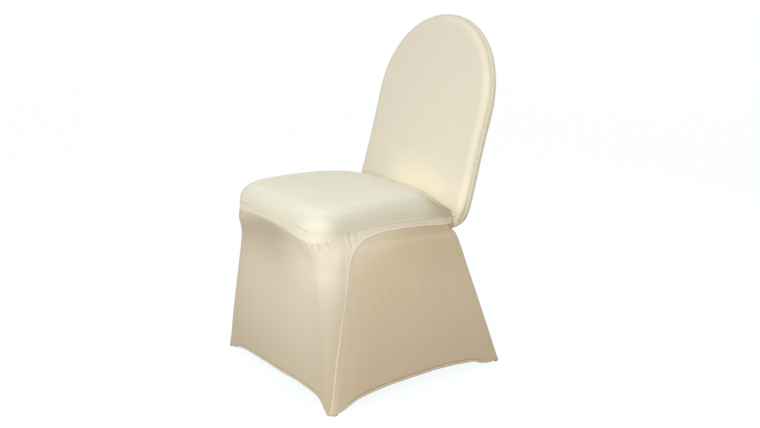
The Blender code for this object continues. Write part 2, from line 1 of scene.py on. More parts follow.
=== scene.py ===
# %% [markdown]
# # A fitted spandex chair cover
#
# A spandex cover is sewn from a few panels of stretch knit, each cut smaller than the
# chair, and pulled tight over it. Nothing hangs loose, so the shape is that of the
# stretched cloth: round at the back's top, crisp at the seat's edge, and drawn in
# between the legs. This lesson works that shape out as formulas on grids of points, and
# then dresses it in a knitted cloth made of shader nodes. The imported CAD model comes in
# first. It fixes every size and place, and each piece made here replaces one of its nodes.

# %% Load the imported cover
import math

import bmesh
import bpy
import numpy as np
from mathutils import Matrix


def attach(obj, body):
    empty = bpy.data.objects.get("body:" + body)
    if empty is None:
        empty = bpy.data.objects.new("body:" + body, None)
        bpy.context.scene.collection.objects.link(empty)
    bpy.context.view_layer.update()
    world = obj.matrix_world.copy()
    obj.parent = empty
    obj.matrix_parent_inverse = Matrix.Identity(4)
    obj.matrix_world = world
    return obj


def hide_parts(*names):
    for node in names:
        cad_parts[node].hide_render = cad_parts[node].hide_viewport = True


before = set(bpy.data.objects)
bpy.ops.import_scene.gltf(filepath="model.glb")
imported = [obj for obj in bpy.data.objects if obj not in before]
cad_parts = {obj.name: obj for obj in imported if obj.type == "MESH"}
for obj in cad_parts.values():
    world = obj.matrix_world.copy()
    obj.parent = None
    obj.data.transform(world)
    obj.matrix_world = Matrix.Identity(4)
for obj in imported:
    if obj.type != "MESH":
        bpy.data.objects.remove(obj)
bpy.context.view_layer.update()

print("Pieces of the cover:", sorted(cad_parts))

# %% [markdown]
# ## Small tools for shapes
#
# A maker measures a pattern at a few places and draws a fair curve through them. The
# tables below do the same: each row is one measured place, and `smooth` draws the curve.
# Everything is worked out on whole arrays, which is as quick for ten thousand points as a
# loop is for ten.

# %% Tables and curves
def table(names, *rows):
    """Rows of numbers as a dictionary of named columns."""
    return dict(zip(names.split(), np.array(rows, float).T))


def smooth(at, xs, ys):
    """Interpolate (xs, ys) by a cubic curve that never overshoots its points."""
    at = np.clip(at, xs[0], xs[-1])
    chord = np.diff(ys) / np.diff(xs)
    left, right = chord[:-1], chord[1:]
    same = left * right > 0
    inner = np.where(same, 2 * left * right / np.where(same, left + right, 1), 0)
    slope = np.concatenate([chord[:1], inner, chord[-1:]])
    cell = np.clip(np.searchsorted(xs, at, side="right") - 1, 0, len(xs) - 2)
    width = xs[cell + 1] - xs[cell]
    t = (at - xs[cell]) / width
    leaving = width * slope[cell] * t * (1 - t) ** 2
    arriving = width * slope[cell + 1] * t * t * (1 - t)
    return ys[cell] + leaving + (ys[cell + 1] - ys[cell]) * t * t * (3 - 2 * t) - arriving


def read(columns, name, at):
    """One column of a table at values of its first column."""
    return smooth(np.asarray(at, float), next(iter(columns.values())), columns[name])


def by_number(values, number):
    """Values of a list between its entries, which are counted from nothing."""
    return np.interp(number, np.arange(len(values)), values)


def unit(vectors):
    """Vectors scaled to a length of one."""
    return vectors / np.linalg.norm(vectors, axis=-1, keepdims=True)


def fading(distance, reach):
    """Weights that fall smoothly from one to nothing over a reach: 1 - 3t^2 + 2t^3."""
    t = np.clip(distance / reach, 0, 1)
    return 1 - t * t * (3 - 2 * t)


def bell(distance, width):
    """A rounded ridge: the exponential of minus (distance / width) squared."""
    return np.exp(-(distance / width) ** 2)


def path_length(points):
    """Distance from the start along a line, or along each row of a grid.

    It is the running sum of the steps from point to point.
    """
    steps = np.linalg.norm(np.diff(points, axis=-2), axis=-1)
    return np.concatenate([0 * steps[..., :1], np.cumsum(steps, axis=-1)], axis=-1)


def at_shares(line, shares, curve=False, length=None):
    """Points at shares of a line's length, on its straight pieces or on a smooth curve."""
    length = path_length(line) if length is None else length
    draw = smooth if curve else np.interp
    return np.stack([draw(shares * length[-1], length, column) for column in line.T], -1)


def pairs(first, second):
    """Two columns side by side, such as stations and levels."""
    return np.stack(np.broadcast_arrays(first, second), -1)


def mirrored(points):
    """The same points on the other side of the cover."""
    return points * np.array([-1.0, 1.0, 1.0])


def both_halves(grid):
    """A right half that ends on the middle line, and its mirror image."""
    return np.concatenate([grid, mirrored(grid[-2::-1])])


print("The curve through 0, 1, 0 at a quarter of the way:",
      round(float(smooth(np.array(0.5), np.arange(3.0), np.array([0.0, 1.0, 0.0]))), 3))

# %% [markdown]
# ## Where the points of a grid go
#
# A seam is a few millimetres wide, while a panel is half a metre across. Even steps would
# need a million points to show the seam, so the steps are graded: under a millimetre
# beside a seam or a hem, and about five in the open cloth.

# %% Graded steps
SEAM_STEP = 0.0009        # steps beside a seam
OPEN_STEP = 0.0044        # steps in the open cloth
SEAM_ZONE = 0.006         # the finest steps go this far from the seam
GRADE_REACH = 0.030       # and grow to the open ones over this much
GRADE_SAMPLES = 1500      # places at which the size of a step is worked out


def graded(length, near_start=True, near_end=True, fine=SEAM_STEP, coarse=OPEN_STEP):
    """Shares of a length, in steps that grow with the distance from its sewn ends.

    The number of steps up to a place is the integral of one over the step's size, so
    equal counts are read back from that running sum.
    """
    at = np.linspace(0, length, GRADE_SAMPLES)
    away = np.full(at.shape, length)
    if near_start:
        away = np.minimum(away, at)
    if near_end:
        away = np.minimum(away, length - at)
    step = coarse + (fine - coarse) * fading(away - SEAM_ZONE, GRADE_REACH)
    counts = np.concatenate([[0], np.cumsum((1 / step[1:] + 1 / step[:-1]) / 2 * np.diff(at))])
    steps = int(math.ceil(counts[-1]))
    return np.interp(np.linspace(0, counts[-1], steps + 1), counts, at) / length


print("Steps across a panel of 0.4 m:", len(graded(0.4)) - 1)

# %% [markdown]
# ## The skirt
#
# The skirt is one surface round the four legs, pulled out to a foot at each corner. A
# point on it is found by a *station*, which counts round the chair, and a *level*, which
# is the height. Stations 0 to 1 are the rear face from its middle to the right corner, 1
# to 2 that corner's arc, 2 to 3 the right side, 3 to 4 the front corner and 4 to 5 the
# front up to its middle. The left side follows from 5 to 10 in the same way.

# %% Measures of the skirt
SEAT_SEAM = 0.434         # level of the seam between seat and skirt
NECK_LEVEL = 0.3945       # where the lower corners of the back are drawn in
FOOT_SEAM = 0.006         # seam between the skirt and the foot pockets
HEM_WIDTH = 0.0075        # turned hem
HEM_GROOVE = 0.0005       # depth of the stitched groove over it
HEM_STITCH = 0.0012       # half width of that groove
MIDDLE = np.array([-0.01080, 0.06535, 0.0])   # middle of the cover's footprint

SECTION = table(
    "level  front_y  front_half front_round rear_y  rear_half rear_round left_x left_y",
    (0.000, -0.2170, 0.2525, 0.021, 0.3590, 0.2447, 0.022, 0.0225, 0.0010),
    (0.030, -0.2140, 0.2465, 0.026, 0.3490, 0.2405, 0.023, 0.0245, -0.0020),
    (0.100, -0.2100, 0.2372, 0.031, 0.3253, 0.2319, 0.024, 0.0237, -0.0064),
    (0.200, -0.2065, 0.2255, 0.038, 0.2920, 0.2191, 0.026, 0.0192, -0.0087),
    (0.300, -0.2040, 0.2150, 0.047, 0.2582, 0.2060, 0.029, 0.0154, -0.0103),
    (0.350, -0.2035, 0.2085, 0.050, 0.2418, 0.1992, 0.031, 0.0132, -0.0107),
    (0.380, -0.2050, 0.2055, 0.052, 0.2304, 0.1933, 0.032, 0.0107, -0.0107),
    (0.395, -0.2085, 0.2042, 0.053, 0.2215, 0.1870, 0.033, 0.0093, -0.0105),
    (0.410, -0.2155, 0.2036, 0.054, 0.2240, 0.1860, 0.034, 0.0067, -0.0088),
    (0.422, -0.2232, 0.2039, 0.055, 0.2295, 0.1853, 0.035, 0.0030, -0.0040),
    (0.430, -0.2274, 0.2044, 0.056, 0.2340, 0.1846, 0.035, 0.0006, -0.0008),
    (0.434, -0.2280, 0.2045, 0.056, 0.2350, 0.1845, 0.035, 0.0000, 0.0000))
REAR_BOW = table(
    "level  bow",
    (0.0, 0.0), (0.1, 0.0), (0.25, 0.006), (0.34, 0.012), (0.3945, 0.018), (0.434, 0.014))
SEAM_LINE = table(
    "station height",
    (0.0, 0.428), (2.0, 0.428), (2.2, 0.433), (2.42, 0.439), (2.7, 0.443), (2.88, 0.442),
    (3.05, 0.437), (3.4, 0.431), (3.75, 0.4275), (4.0, 0.428), (4.25, 0.4315), (4.5, 0.434),
    (5.0, 0.4353))
HEM_LINE = table(
    "station level",
    (0.0, 0.03), (0.7, 0.028), (0.88, 0.023), (0.95, 0.013), (1.0, 0.006), (1.5, 0.006),
    (2.0, 0.006), (2.045, 0.0065), (2.1, 0.013), (2.14, 0.0222), (2.22, 0.0278),
    (2.3, 0.0318), (2.43, 0.0346), (2.56, 0.0342), (2.69, 0.0334), (2.81, 0.029),
    (2.875, 0.025), (2.922, 0.018), (2.96, 0.0104), (3.0, 0.006), (3.5, 0.006),
    (4.0, 0.0062), (4.048, 0.0175), (4.088, 0.0262), (4.125, 0.0306), (4.17, 0.0332),
    (4.345, 0.0356), (4.55, 0.0362), (4.76, 0.0328), (5.0, 0.03), (5.25, 0.0286),
    (5.5, 0.0266), (5.68, 0.0238), (5.835, 0.0164), (5.9, 0.0096), (5.95, 0.007),
    (6.0, 0.006), (6.5, 0.006))
print("Levels at which the skirt is measured:", len(SECTION["level"]))

# %% [markdown]
# ### From measures to a surface
#
# At each level the skirt is four straight faces joined by arcs, as a cloth is that is
# pulled round four posts. The left front foot stands out a little further than the right
# one, so the left side leans away from the mirror image of the right one.

# %% The skirt as a function of station and level
STATION_STEP = 0.002      # small steps from which directions are worked out
LEVEL_STEP = 0.0005
LEFT_HEM = 6.5            # from this station on, the hem mirrors that of the right side


def right_station(station):
    """The station that faces this one on the right side."""
    return np.where(station > 5, 10 - station, station)


def hem_level(station):
    """Level of the hem's lower edge."""
    return read(HEM_LINE, "level", np.where(station > LEFT_HEM, 10 - station, station))


def skirt(station, level):
    """Point of the skirt: straight faces between corners rounded as arcs.

    A corner's arc starts r tan(turn / 2) before the corner and swings about a centre
    that lies r inwards from its start. The height is the level times the real height
    of the seat seam there over its nominal one.
    """
    station, level = np.broadcast_arrays(np.asarray(station, float), np.asarray(level, float))
    half, left = right_station(station), (station > 5)[..., None]
    size = {name: read(SECTION, name, level)[..., None] for name in list(SECTION)[1:]}
    zero = 0 * size["rear_y"]
    start = np.concatenate([zero, size["rear_y"]], -1)
    rear = np.concatenate([size["rear_half"], size["rear_y"]], -1)
    front = np.concatenate([size["front_half"], size["front_y"]], -1)
    end = np.concatenate([zero, size["front_y"] + size["left_y"] / 2], -1)
    lean = left * np.concatenate([size["left_x"], size["left_y"]], -1)

    def corner(before, at, after, radius):
        """Start of the arc, its points by share, and its end."""
        ahead, away = unit(at - before), unit(after - at)
        turn = np.arccos((ahead * away).sum(-1, keepdims=True))
        inward = np.stack([ahead[..., 1], -ahead[..., 0]], -1)
        first = at - ahead * radius * np.tan(turn / 2)
        centre = first + inward * radius

        def arc(share):
            angle = turn * share
            return centre - radius * (inward * np.cos(angle) - ahead * np.sin(angle))
        return first, arc, arc(np.ones_like(turn))

    rear_in, rear_arc, rear_out = corner(start, rear, front, size["rear_round"])
    front_in, front_arc, front_out = corner(rear, front + lean, end, size["front_round"])
    s = half[..., None]
    flat = np.select(
        [s < 1, s < 2, s < 3, s < 4],
        [start + (rear_in - start) * s, rear_arc(s - 1),
         rear_out + (front_in - rear_out) * (s - 2), front_arc(s - 3)],
        front_out + (end - front_out) * (s - 4))
    flat[..., 1] += read(REAR_BOW, "bow", level) * np.clip(1 - half ** 2, 0, 1)
    height = level * read(SEAM_LINE, "height", half) / SEAT_SEAM
    return np.concatenate([np.where(left, -1, 1) * flat[..., :1], flat[..., 1:],
                           height[..., None]], -1)


def outward(station, level):
    """Outward normal of the skirt: the cross product of the ways up and along."""
    across = skirt(station + STATION_STEP, level) - skirt(station - STATION_STEP, level)
    upward = skirt(station, level + LEVEL_STEP) - skirt(station, level - LEVEL_STEP)
    return unit(np.cross(upward, across))


print("Right front foot, in metres:", skirt(3.5, 0.0).round(4))

# %% [markdown]
# ### Gathers and hem
#
# Where the skirt turns under the front corners of the seat, its edge is longer than the
# seat's, so the maker eases it in and it puckers. Each pucker is a soft trough that
# starts at the seam and fades out below it. The hem's stitching presses a narrow groove.

# %% Gathers under the seat, and the skirt that has them
GATHERS = table(
    "station depth  wide   fall",
    (2.857, 0.002, 0.024, 0.024), (2.912, 0.0023, 0.022, 0.03), (2.968, 0.0015, 0.022, 0.02),
    (3.14, 0.0014, 0.075, 0.016), (3.36, 0.0019, 0.07, 0.02), (3.58, 0.0021, 0.075, 0.023),
    (3.79, 0.0015, 0.07, 0.016), (4.0, 0.0017, 0.06, 0.018))
GATHER_START = 0.012      # they deepen over this much below the seam


def dressed_skirt(places):
    """The skirt less its gathers and hem groove, each a bell pressed inwards."""
    station, level = places[..., 0], places[..., 1]
    half, below = right_station(station), SEAT_SEAM - level
    depth = HEM_GROOVE * bell(level - hem_level(station) - HEM_WIDTH, HEM_STITCH)
    started = np.clip(below / GATHER_START, 0, 1)
    for place, deep, wide, fall in zip(*GATHERS.values()):
        depth += started * deep * bell(half - place, wide) * bell(below, fall)
    return skirt(station, level) - outward(station, level) * depth[..., None]


print("Gathers on each side:", len(GATHERS["station"]))

# %% [markdown]
# ## Seam lines
#
# Two panels meet at every seam, so the seam's line is worked out once and both panels
# are built on it. The leg seam runs up the front leg, turns under the seat's corner and
# goes back beneath the seat as the lower edge of a narrow strip. It ends on the short
# neck line, where the skirt meets the back.

# %% Lines that neighbouring panels share
NECK = 1.31               # rear leg seam, just round the rear corner
SEAT_END = 2.0            # rear end of the seat seam
STRIP_END = 0.58          # share of the neck line that the front skirt's strip covers
CORNER_LEVEL = 0.3925     # the seam turns from the leg to the seat here
SEARCH_STATIONS = np.linspace(1.0, 5.0, 600)   # the right side, searched for a given y
LINE_SAMPLES = 400        # points of a line before it is read in graded steps
LEG_SEAM = table(
    "y       level",
    (-0.2085, 0.006), (-0.2, 0.04), (-0.1915, 0.089), (-0.1825, 0.138), (-0.1715, 0.185),
    (-0.161, 0.233), (-0.15, 0.28), (-0.14, 0.328), (-0.133, 0.357), (-0.125, 0.377),
    (-0.112, 0.3925), (-0.093, 0.4045), (-0.068, 0.412), (-0.038, 0.4155), (0.0, 0.417),
    (0.06, 0.417), (0.12, 0.416), (0.17, 0.414))


def station_at(y, level):
    """Station on the right side of the skirt where a level reaches the given y."""
    return np.interp(-y, -skirt(SEARCH_STATIONS, level)[:, 1], SEARCH_STATIONS)


def real_length(places):
    """Distances along a line of places on the dressed skirt."""
    return path_length(dressed_skirt(places))


def along(places, shares):
    """Places at shares of a line's real length on the dressed skirt."""
    return at_shares(places, shares, length=real_length(places))


def straight(start, end, count=LINE_SAMPLES):
    """Places in even steps from one to another."""
    return np.linspace(0, 1, count)[:, None] * (np.array(end) - start) + start


def left_stations(places):
    """The same places on the left side of the skirt."""
    return pairs(10 - places[..., 0], places[..., 1])


leg_seam = np.array([(station_at(y, level), level) for y, level in zip(*LEG_SEAM.values())])
turn = int(np.argmax(leg_seam[:, 1] >= CORNER_LEVEL))
leg_levels = FOOT_SEAM + (CORNER_LEVEL - FOOT_SEAM) * graded(CORNER_LEVEL - FOOT_SEAM, fine=0.0010)
leg_line = pairs(smooth(leg_levels, leg_seam[:turn + 1, 1], leg_seam[:turn + 1, 0]), leg_levels)
seat_corner, neck_corner = np.array([SEAT_END, SEAT_SEAM]), np.array([NECK, NECK_LEVEL])
strip_foot = seat_corner + STRIP_END * (neck_corner - seat_corner)
strip_way = at_shares(np.concatenate([leg_seam[turn:], strip_foot[None]]),
                      np.linspace(0, 1, LINE_SAMPLES), curve=True)
print("Steps up the leg seam:", len(leg_line) - 1)

# %% [markdown]
# ### A sheet between four lines
#
# Each skirt panel is bounded by four lines: two legs, a hem and a top. A blended patch is
# the smooth sheet between four such lines, and it meets each of them exactly.

# %% The patch between four lines
LEG_RISE = (leg_line[:, 1] - leg_line[0, 1]) / (leg_line[-1, 1] - leg_line[0, 1])


def patch(left, right, bottom, top, u, v):
    """The blend of left and right, plus that of bottom and top, less that of the corners."""
    u, v = u[None, :, None], v[:, None, None]
    ruled = left[:, None] * (1 - u) + right[:, None] * u + bottom * (1 - v) + top * v
    ends = (bottom[0] * (1 - u) + bottom[-1] * u) * (1 - v) + (top[0] * (1 - u) + top[-1] * u) * v
    return ruled - ends


def hem_places(stations):
    """Places of the hem at some stations."""
    return pairs(stations, hem_level(stations))


print("The leg seam's real length, in metres:", round(path_length(skirt(*leg_line.T))[-1], 3))

# %% [markdown]
# ## Front skirt
#
# The front panel is the sheet between the two front legs. At its top it wraps round both
# corners and runs back as a strip under the seat, all in one piece of cloth. It is made
# of two grids: the band under the seat seam, and the sheet below it. They share a row of
# places, and their points are joined there later.

# %% Places of the front skirt
BAND_ROWS = graded(SEAT_SEAM - CORNER_LEVEL, fine=0.0009, coarse=0.0018)[::-1, None, None]
top_way = straight((leg_line[-1, 0], CORNER_LEVEL), (5, CORNER_LEVEL))
half_top = along(top_way, graded(real_length(top_way)[-1], near_end=False, fine=0.0012,
                                 coarse=0.0036))
front_top = np.concatenate([half_top, left_stations(half_top[-2::-1])])
strip = along(strip_way, graded(real_length(strip_way)[-1], fine=0.0013, coarse=0.0040))
strip_share = path_length(skirt(*strip.T)) / path_length(skirt(*strip.T))[-1]
strip_seam = leg_line[-1, 0] + (SEAT_END - leg_line[-1, 0]) * strip_share
seat_seam = pairs(np.concatenate([strip_seam[::-1], front_top[1:-1, 0], 10 - strip_seam]), SEAT_SEAM)
band_low = np.concatenate([strip[::-1], front_top[1:-1], left_stations(strip)])
front_share = (front_top[:, 0] - front_top[0, 0]) / (front_top[-1, 0] - front_top[0, 0])
left_leg_line = left_stations(leg_line)
front_hem = hem_places(leg_line[0, 0] + (left_leg_line[0, 0] - leg_line[0, 0]) * front_share)
front_places = [seat_seam * (1 - BAND_ROWS) + band_low * BAND_ROWS,
                patch(leg_line, left_leg_line, front_hem, front_top, front_share, LEG_RISE)]
print("Grids of the front skirt:", [grid.shape[:2] for grid in front_places])

# %% [markdown]
# ## Side skirts
#
# A side panel is the sheet between the front leg seam and the rear leg seam, cut to a
# scooped hem so that it clears the floor between the feet. Its top is the strip's lower
# edge. The rear border climbs the leg to the neck, and then follows the rest of the
# neck line.

# %% Places of a side skirt
NECK_ROWS = 9             # rows of the panel that end on the neck line
climb = leg_line[:-NECK_ROWS, 1]
climb = FOOT_SEAM + (climb - FOOT_SEAM) * (NECK_LEVEL - FOOT_SEAM) / (climb[-1] - FOOT_SEAM)
rear_border = np.concatenate([pairs(NECK, climb),
                              straight(neck_corner, strip_foot, NECK_ROWS + 1)[1:]])
hem_way = hem_places(np.linspace(leg_line[0, 0], NECK, LINE_SAMPLES))
side_shares = graded(real_length(hem_way)[-1])
side_places = patch(leg_line, rear_border, along(hem_way, side_shares),
                    along(strip_way, side_shares), side_shares, LEG_RISE)
print("Grid of a side skirt:", side_places.shape[:2])

# %% [markdown]
# ## Where seat and back meet
#
# The back leans in a plane of its own. The seat's cloth runs in under it, and the two are
# sewn together along a crease that dips towards the neck on either side.

# %% The back's own plane, and the crease at its foot
BACK_FOOT = np.array([0.0, 0.209, SEAT_SEAM])
BACK_TILT = math.radians(14.1)
CREASE = table(
    "half   height  behind",
    (0.0, 0.468, -0.018), (0.055, 0.4675, -0.018), (0.1, 0.462, -0.018),
    (0.132, 0.4545, -0.0172), (0.155, 0.448, -0.0152), (0.17, 0.444, -0.0125),
    (0.179, 0.441, -0.01), (0.184, 0.437, -0.0083), (0.1855, 0.428, -0.0073))
CREASE_SHARES = np.array([0, 0.007, 0.030, 0.075, 0.14, 0.24, 0.38, 0.56, 0.78, 1.0])   # its rows


def back_point(x, up, behind):
    """Point of the back's plane, or behind it: both ways turned by the tilt's sine and cosine."""
    x, up, behind = np.broadcast_arrays(x, up, behind)
    y = BACK_FOOT[1] + up * math.sin(BACK_TILT) + behind * math.cos(BACK_TILT)
    z = BACK_FOOT[2] + up * math.cos(BACK_TILT) - behind * math.sin(BACK_TILT)
    return np.stack([x, y, z], -1)


def crease_at(shares):
    """Crease between seat and back, by share of its half width, in the back's own plane.

    Its place up the back is (height + behind sin(tilt)) / cos(tilt), from the back's foot.
    """
    half = CREASE["half"][-1] * (1 - shares)
    behind = read(CREASE, "behind", half)
    height = read(CREASE, "height", half)
    up = (height - BACK_FOOT[2] + behind * math.sin(BACK_TILT)) / math.cos(BACK_TILT)
    return np.stack([half, up, behind], -1)


def spokes(rim, hub, shares):
    """Rows of points from each point of a rim to the hub point that faces it."""
    return rim[:, None] + (hub - rim)[:, None] * shares[..., None]


def edged_spokes(rim, hub, edge, inner):
    """Spokes that first take the edge's own steps, and then shares of the way that is left."""
    length = np.linalg.norm((hub - rim)[:, :2], axis=1)[:, None]
    inset = np.concatenate([edge + 0 * length, edge[-1] + (length - edge[-1]) * inner], axis=1)
    return spokes(rim, hub, inset / length), inset


def carried_on(number, inner, shares):
    """Row numbers of an edge, carried on inside it at the shares of some further rows."""
    return np.append(number, number[-1] + np.interp(inner, shares, np.arange(len(shares))))


def bent(grid, first, fade):
    """Bend the first row of a grid on to a given line, and fade that out."""
    return grid + fade[..., None] * (first - grid[0])


crease_middle = crease_at(np.array([1.0]))[0]
print("The crease's middle, up the back:", crease_middle[1].round(4))

# %% [markdown]
# ## Seat
#
# The seat panel is pulled over the cushion, down its edge and on to the seam. Spokes run
# from each point of the seam up the cushion's edge and in to the middle line of the
# seat, so the grid turns round the front corners without a sharp diagonal. Where the seat
# meets the back, the first spoke is bent on to the crease.

# %% The seat as spokes over a rounded edge
SEAT_EDGE = table(
    "inset   rise",
    (0.0, 0.0), (-0.0003, 0.005), (-0.0002, 0.024), (0.0033, 0.0375), (0.0105, 0.0478),
    (0.024, 0.055), (0.048, 0.0592))
SEAT_BASE = 0.437         # mean height of the seat seam
SEAT_LEVELLING = 0.060    # the seam's rise and fall fades out over this much
SEAT_CROWN = 0.0042       # crown of the seat over its edge
CROWN_HALF = 0.160        # its half width, its middle and its half length
CROWN_PLACE = -0.010
CROWN_LENGTH = 0.180
EDGE_BREAK = 0.13         # the slope that the profile loses where its edge ends
EDGE_SOFT = 0.040         # the cushion spreads that loss over this much to either side
SEAT_HUB = -0.115         # front end of the line where the seat's spokes meet
SEAT_TURN = 0.75          # share of the rim over which the spokes turn
SEAT_INNER = np.array([0.0, 0.3, 0.63, 1.0])   # how the crease's last rows lie inside the edge
SEAT_REACH = 0.120        # length of the rim over which the crease's bend fades out
SEAT_REAR = table(
    "y      share",
    (-0.3, 1.0), (0.03, 1.0), (0.084, 0.96), (0.136, 0.84), (0.174, 0.68), (0.205, 0.56))
SEAT_ROWS = 40            # rows inside the edge


def edge_profile(first, second, coarse=0.0024):
    """Fine points of a profile that a table gives coarsely, and their place in it."""
    length = path_length(pairs(first, second))
    rows = np.stack([first, second, np.arange(len(first))], -1)
    return at_shares(rows, graded(length[-1], near_end=False, coarse=coarse), True, length).T


def seat():
    """The crowned seat: spokes from the seat seam to the seat's middle line.

    Height is the seam's own, levelled out over the first centimetres, plus the rise of
    the cushion's edge and a crown that is a parabola each way. A shallow parabola is
    taken off where the edge ends, which turns the break in slope there into a curve.
    """
    rim = dressed_skirt(seat_seam)
    inner = np.linspace(0, 1, SEAT_ROWS + 1)[1:]
    edge, rise, row = edge_profile(SEAT_EDGE["inset"], SEAT_EDGE["rise"])
    row = carried_on(row, inner, SEAT_INNER)
    crease = back_point(*crease_at(by_number(CREASE_SHARES, row)).T)
    crease[0] = rim[0]
    share = (right_station(seat_seam[:, 0]) - SEAT_END) / (5 - SEAT_END)
    hub_y = SEAT_HUB + (crease[-1, 1] - SEAT_HUB) * fading(share, SEAT_TURN)
    hub = np.stack([0 * hub_y, hub_y, 0 * hub_y + SEAT_BASE], -1)
    grid, inset = edged_spokes(rim, hub, edge, inner)
    grid[..., 2] = SEAT_BASE + (rim[:, 2:] - SEAT_BASE) * fading(inset, SEAT_LEVELLING)
    across = 1 - (grid[..., 0] / CROWN_HALF) ** 2
    along_seat = 1 - ((grid[..., 1] - CROWN_PLACE) / CROWN_LENGTH) ** 2
    rise = np.append(rise, [rise[-1]] * len(inner))
    rise = rise + SEAT_CROWN * np.clip(across, 0, 1) * np.clip(along_seat, 0, 1)
    near_break = np.clip(EDGE_SOFT - np.abs(inset - edge[-1]), 0, None)
    rise -= EDGE_BREAK * near_break ** 2 / (4 * EDGE_SOFT)
    grid[..., 2] += rise * read(SEAT_REAR, "share", grid[..., 1])
    half = len(grid) // 2 + 1
    fade = fading(path_length(rim[:half]), SEAT_REACH)[:, None]
    return both_halves(bent(grid[:half], crease, fade))


seat_points = seat()
print("Grid of the seat:", seat_points.shape[:2])

# %% [markdown]
# ## The hood over the back
#
# The back has two panels, sewn together round the edge. Its outline climbs from the
# neck, where the seams draw the cloth in, bulges a little and closes in a round top. The
# arch is close to an ellipse: width by a power of the cosine, height by the same power
# of the sine.

# %% Outline of the hood
BACK_HALF = 0.2205        # half width at the start of the round top
ARCH_START = 0.270        # distance up the back at which it starts, and its own height
ARCH_RISE = 0.232
ARCH_POWER = 0.955        # below one, the arch is fuller than an ellipse
ARCH_STEPS = 150
SPINE_TOP = 0.40          # where the spokes of the back meet below the top
HOOD_SIDE = table(
    "half   up      behind",
    (0.18, -0.0395, 0.0165), (0.191, -0.032, 0.0125), (0.202, -0.019, 0.0085),
    (0.212, -0.003, 0.005), (0.2195, 0.018, 0.002), (0.2225, 0.045, 0.0),
    (0.2225, 0.08, 0.0), (0.221, 0.13, 0.0), (0.22, 0.2, 0.0),
    (0.2205, 0.27, 0.0))


def hood_outline():
    """Right half of the edge seam: a fair curve from the neck, then the sine and cosine arch."""
    neck = skirt(*neck_corner) - BACK_FOOT
    up = neck[1] * math.sin(BACK_TILT) + neck[2] * math.cos(BACK_TILT)
    behind = neck[1] * math.cos(BACK_TILT) - neck[2] * math.sin(BACK_TILT)
    side = np.stack(list(HOOD_SIDE.values()), -1)
    side = at_shares(np.concatenate([[[neck[0], up, behind]], side]),
                     np.linspace(0, 1, ARCH_STEPS), curve=True)
    angle = np.linspace(0, math.pi / 2, ARCH_STEPS + 1)[1:]
    arch = np.stack([BACK_HALF * np.clip(np.cos(angle), 0, 1) ** ARCH_POWER,
                     ARCH_START + ARCH_RISE * np.sin(angle) ** ARCH_POWER, 0 * angle], -1)
    arch[-1, 0] = 0
    line = np.concatenate([side, arch])
    return at_shares(line, graded(path_length(line)[-1], near_end=False, fine=0.0016,
                                  coarse=0.0042))


outline = hood_outline()


def back_hub(low, behind):
    """Where the spokes of the back meet: on its middle line, lower for lower spokes."""
    up = np.interp(outline[:, 1], [outline[0, 1], ARCH_START, outline[-1, 1]],
                   [low, ARCH_START, SPINE_TOP])
    return np.stack([0 * up, up, 0 * up + behind], -1)


print("Points of half the outline:", len(outline))

# %% [markdown]
# ### Inside back
#
# Spokes again: a quarter ellipse rounds the cloth over the edge, and the rest runs flat
# to the middle line. Its lower border is bent on to the neck line and the crease, which
# the seat's panel shares.

# %% The inside back
FACE_DEPTH = 0.0150       # inside back, in front of the edge seam
FACE_ROUND = 0.020        # width of its rounded border
FACE_EDGE = 0.030         # length over which the border's steps are graded
FACE_ROWS = 46            # rows inside the border
FACE_POWER = 1.2          # the inner rows lie closer at the border
CREASE_REACH = 0.130      # length of the outline over which the crease's bend fades out
NECK_ROW_SHARES = np.array([1.0, 0.58, 0.3712, 0.1914, 0.058, 0.0])   # down the neck line
CREASE_ROWS = 9           # the crease's own steps in the inner rows


def hood_front():
    """The inside back: spokes from the edge seam to the middle line.

    Over the rounded border the depth is that of an ellipse, sqrt(1 - (1 - t)^2).
    """
    angle = graded(FACE_EDGE, near_end=False, coarse=0.0016) * math.pi / 2
    edge = FACE_ROUND * (1 - np.cos(angle))
    inner = np.linspace(0, 1, FACE_ROWS + 1)[1:]
    hub = back_hub(crease_middle[1], 0)
    grid, inset = edged_spokes(outline, hub, edge, inner ** FACE_POWER)
    grid[..., 2] -= FACE_DEPTH * np.sqrt(1 - np.clip(1 - inset / FACE_ROUND, 0, 1) ** 2)
    points = back_point(*np.moveaxis(grid, -1, 0))
    number = np.arange(len(NECK_ROW_SHARES))
    neck_share = smooth(angle / angle[-1] * number[-1], number, NECK_ROW_SHARES)[:, None]
    neck_part = dressed_skirt(seat_corner + neck_share * (neck_corner - seat_corner))
    crease_share = by_number(CREASE_SHARES, CREASE_ROWS * inner)
    lower = np.concatenate([neck_part, back_point(*crease_at(crease_share).T)])
    fade = fading(path_length(points[:, 0]), CREASE_REACH)[:, None]
    return both_halves(bent(points, lower, fade))


hood_front_points = hood_front()
print("Grid of the inside back:", hood_front_points.shape[:2])

# %% [markdown]
# ### Outside back
#
# The outside back and the rear of the skirt are one long panel. The grid climbs from the
# hem to the neck on the skirt's surface, and goes on over the back: the edge bulges
# outwards and backwards, then the cloth is nearly flat. The two parts meet in one row,
# which fades into the hood's own shape.

# %% The outside back with the rear skirt
HOOD_EDGE = table(
    "out     behind",
    (0.0, 0.0), (0.0042, 0.006), (0.003, 0.014), (-0.0045, 0.0205), (-0.016, 0.0235))
HOOD_MIDDLE = 0.0235      # behind the plane of the edge seam
NECK_REACH = 0.110        # length of the outline over which the hood leaves the skirt
NECK_EDGE_REACH = 0.045   # the same for its rounded edge
REAR_SHARES = np.array([0.0, 0.06, 0.13, 0.25, 0.45, 0.72, 1.0])   # how that reach widens inwards
REAR_COLUMNS = 48         # columns inside the rounded edge


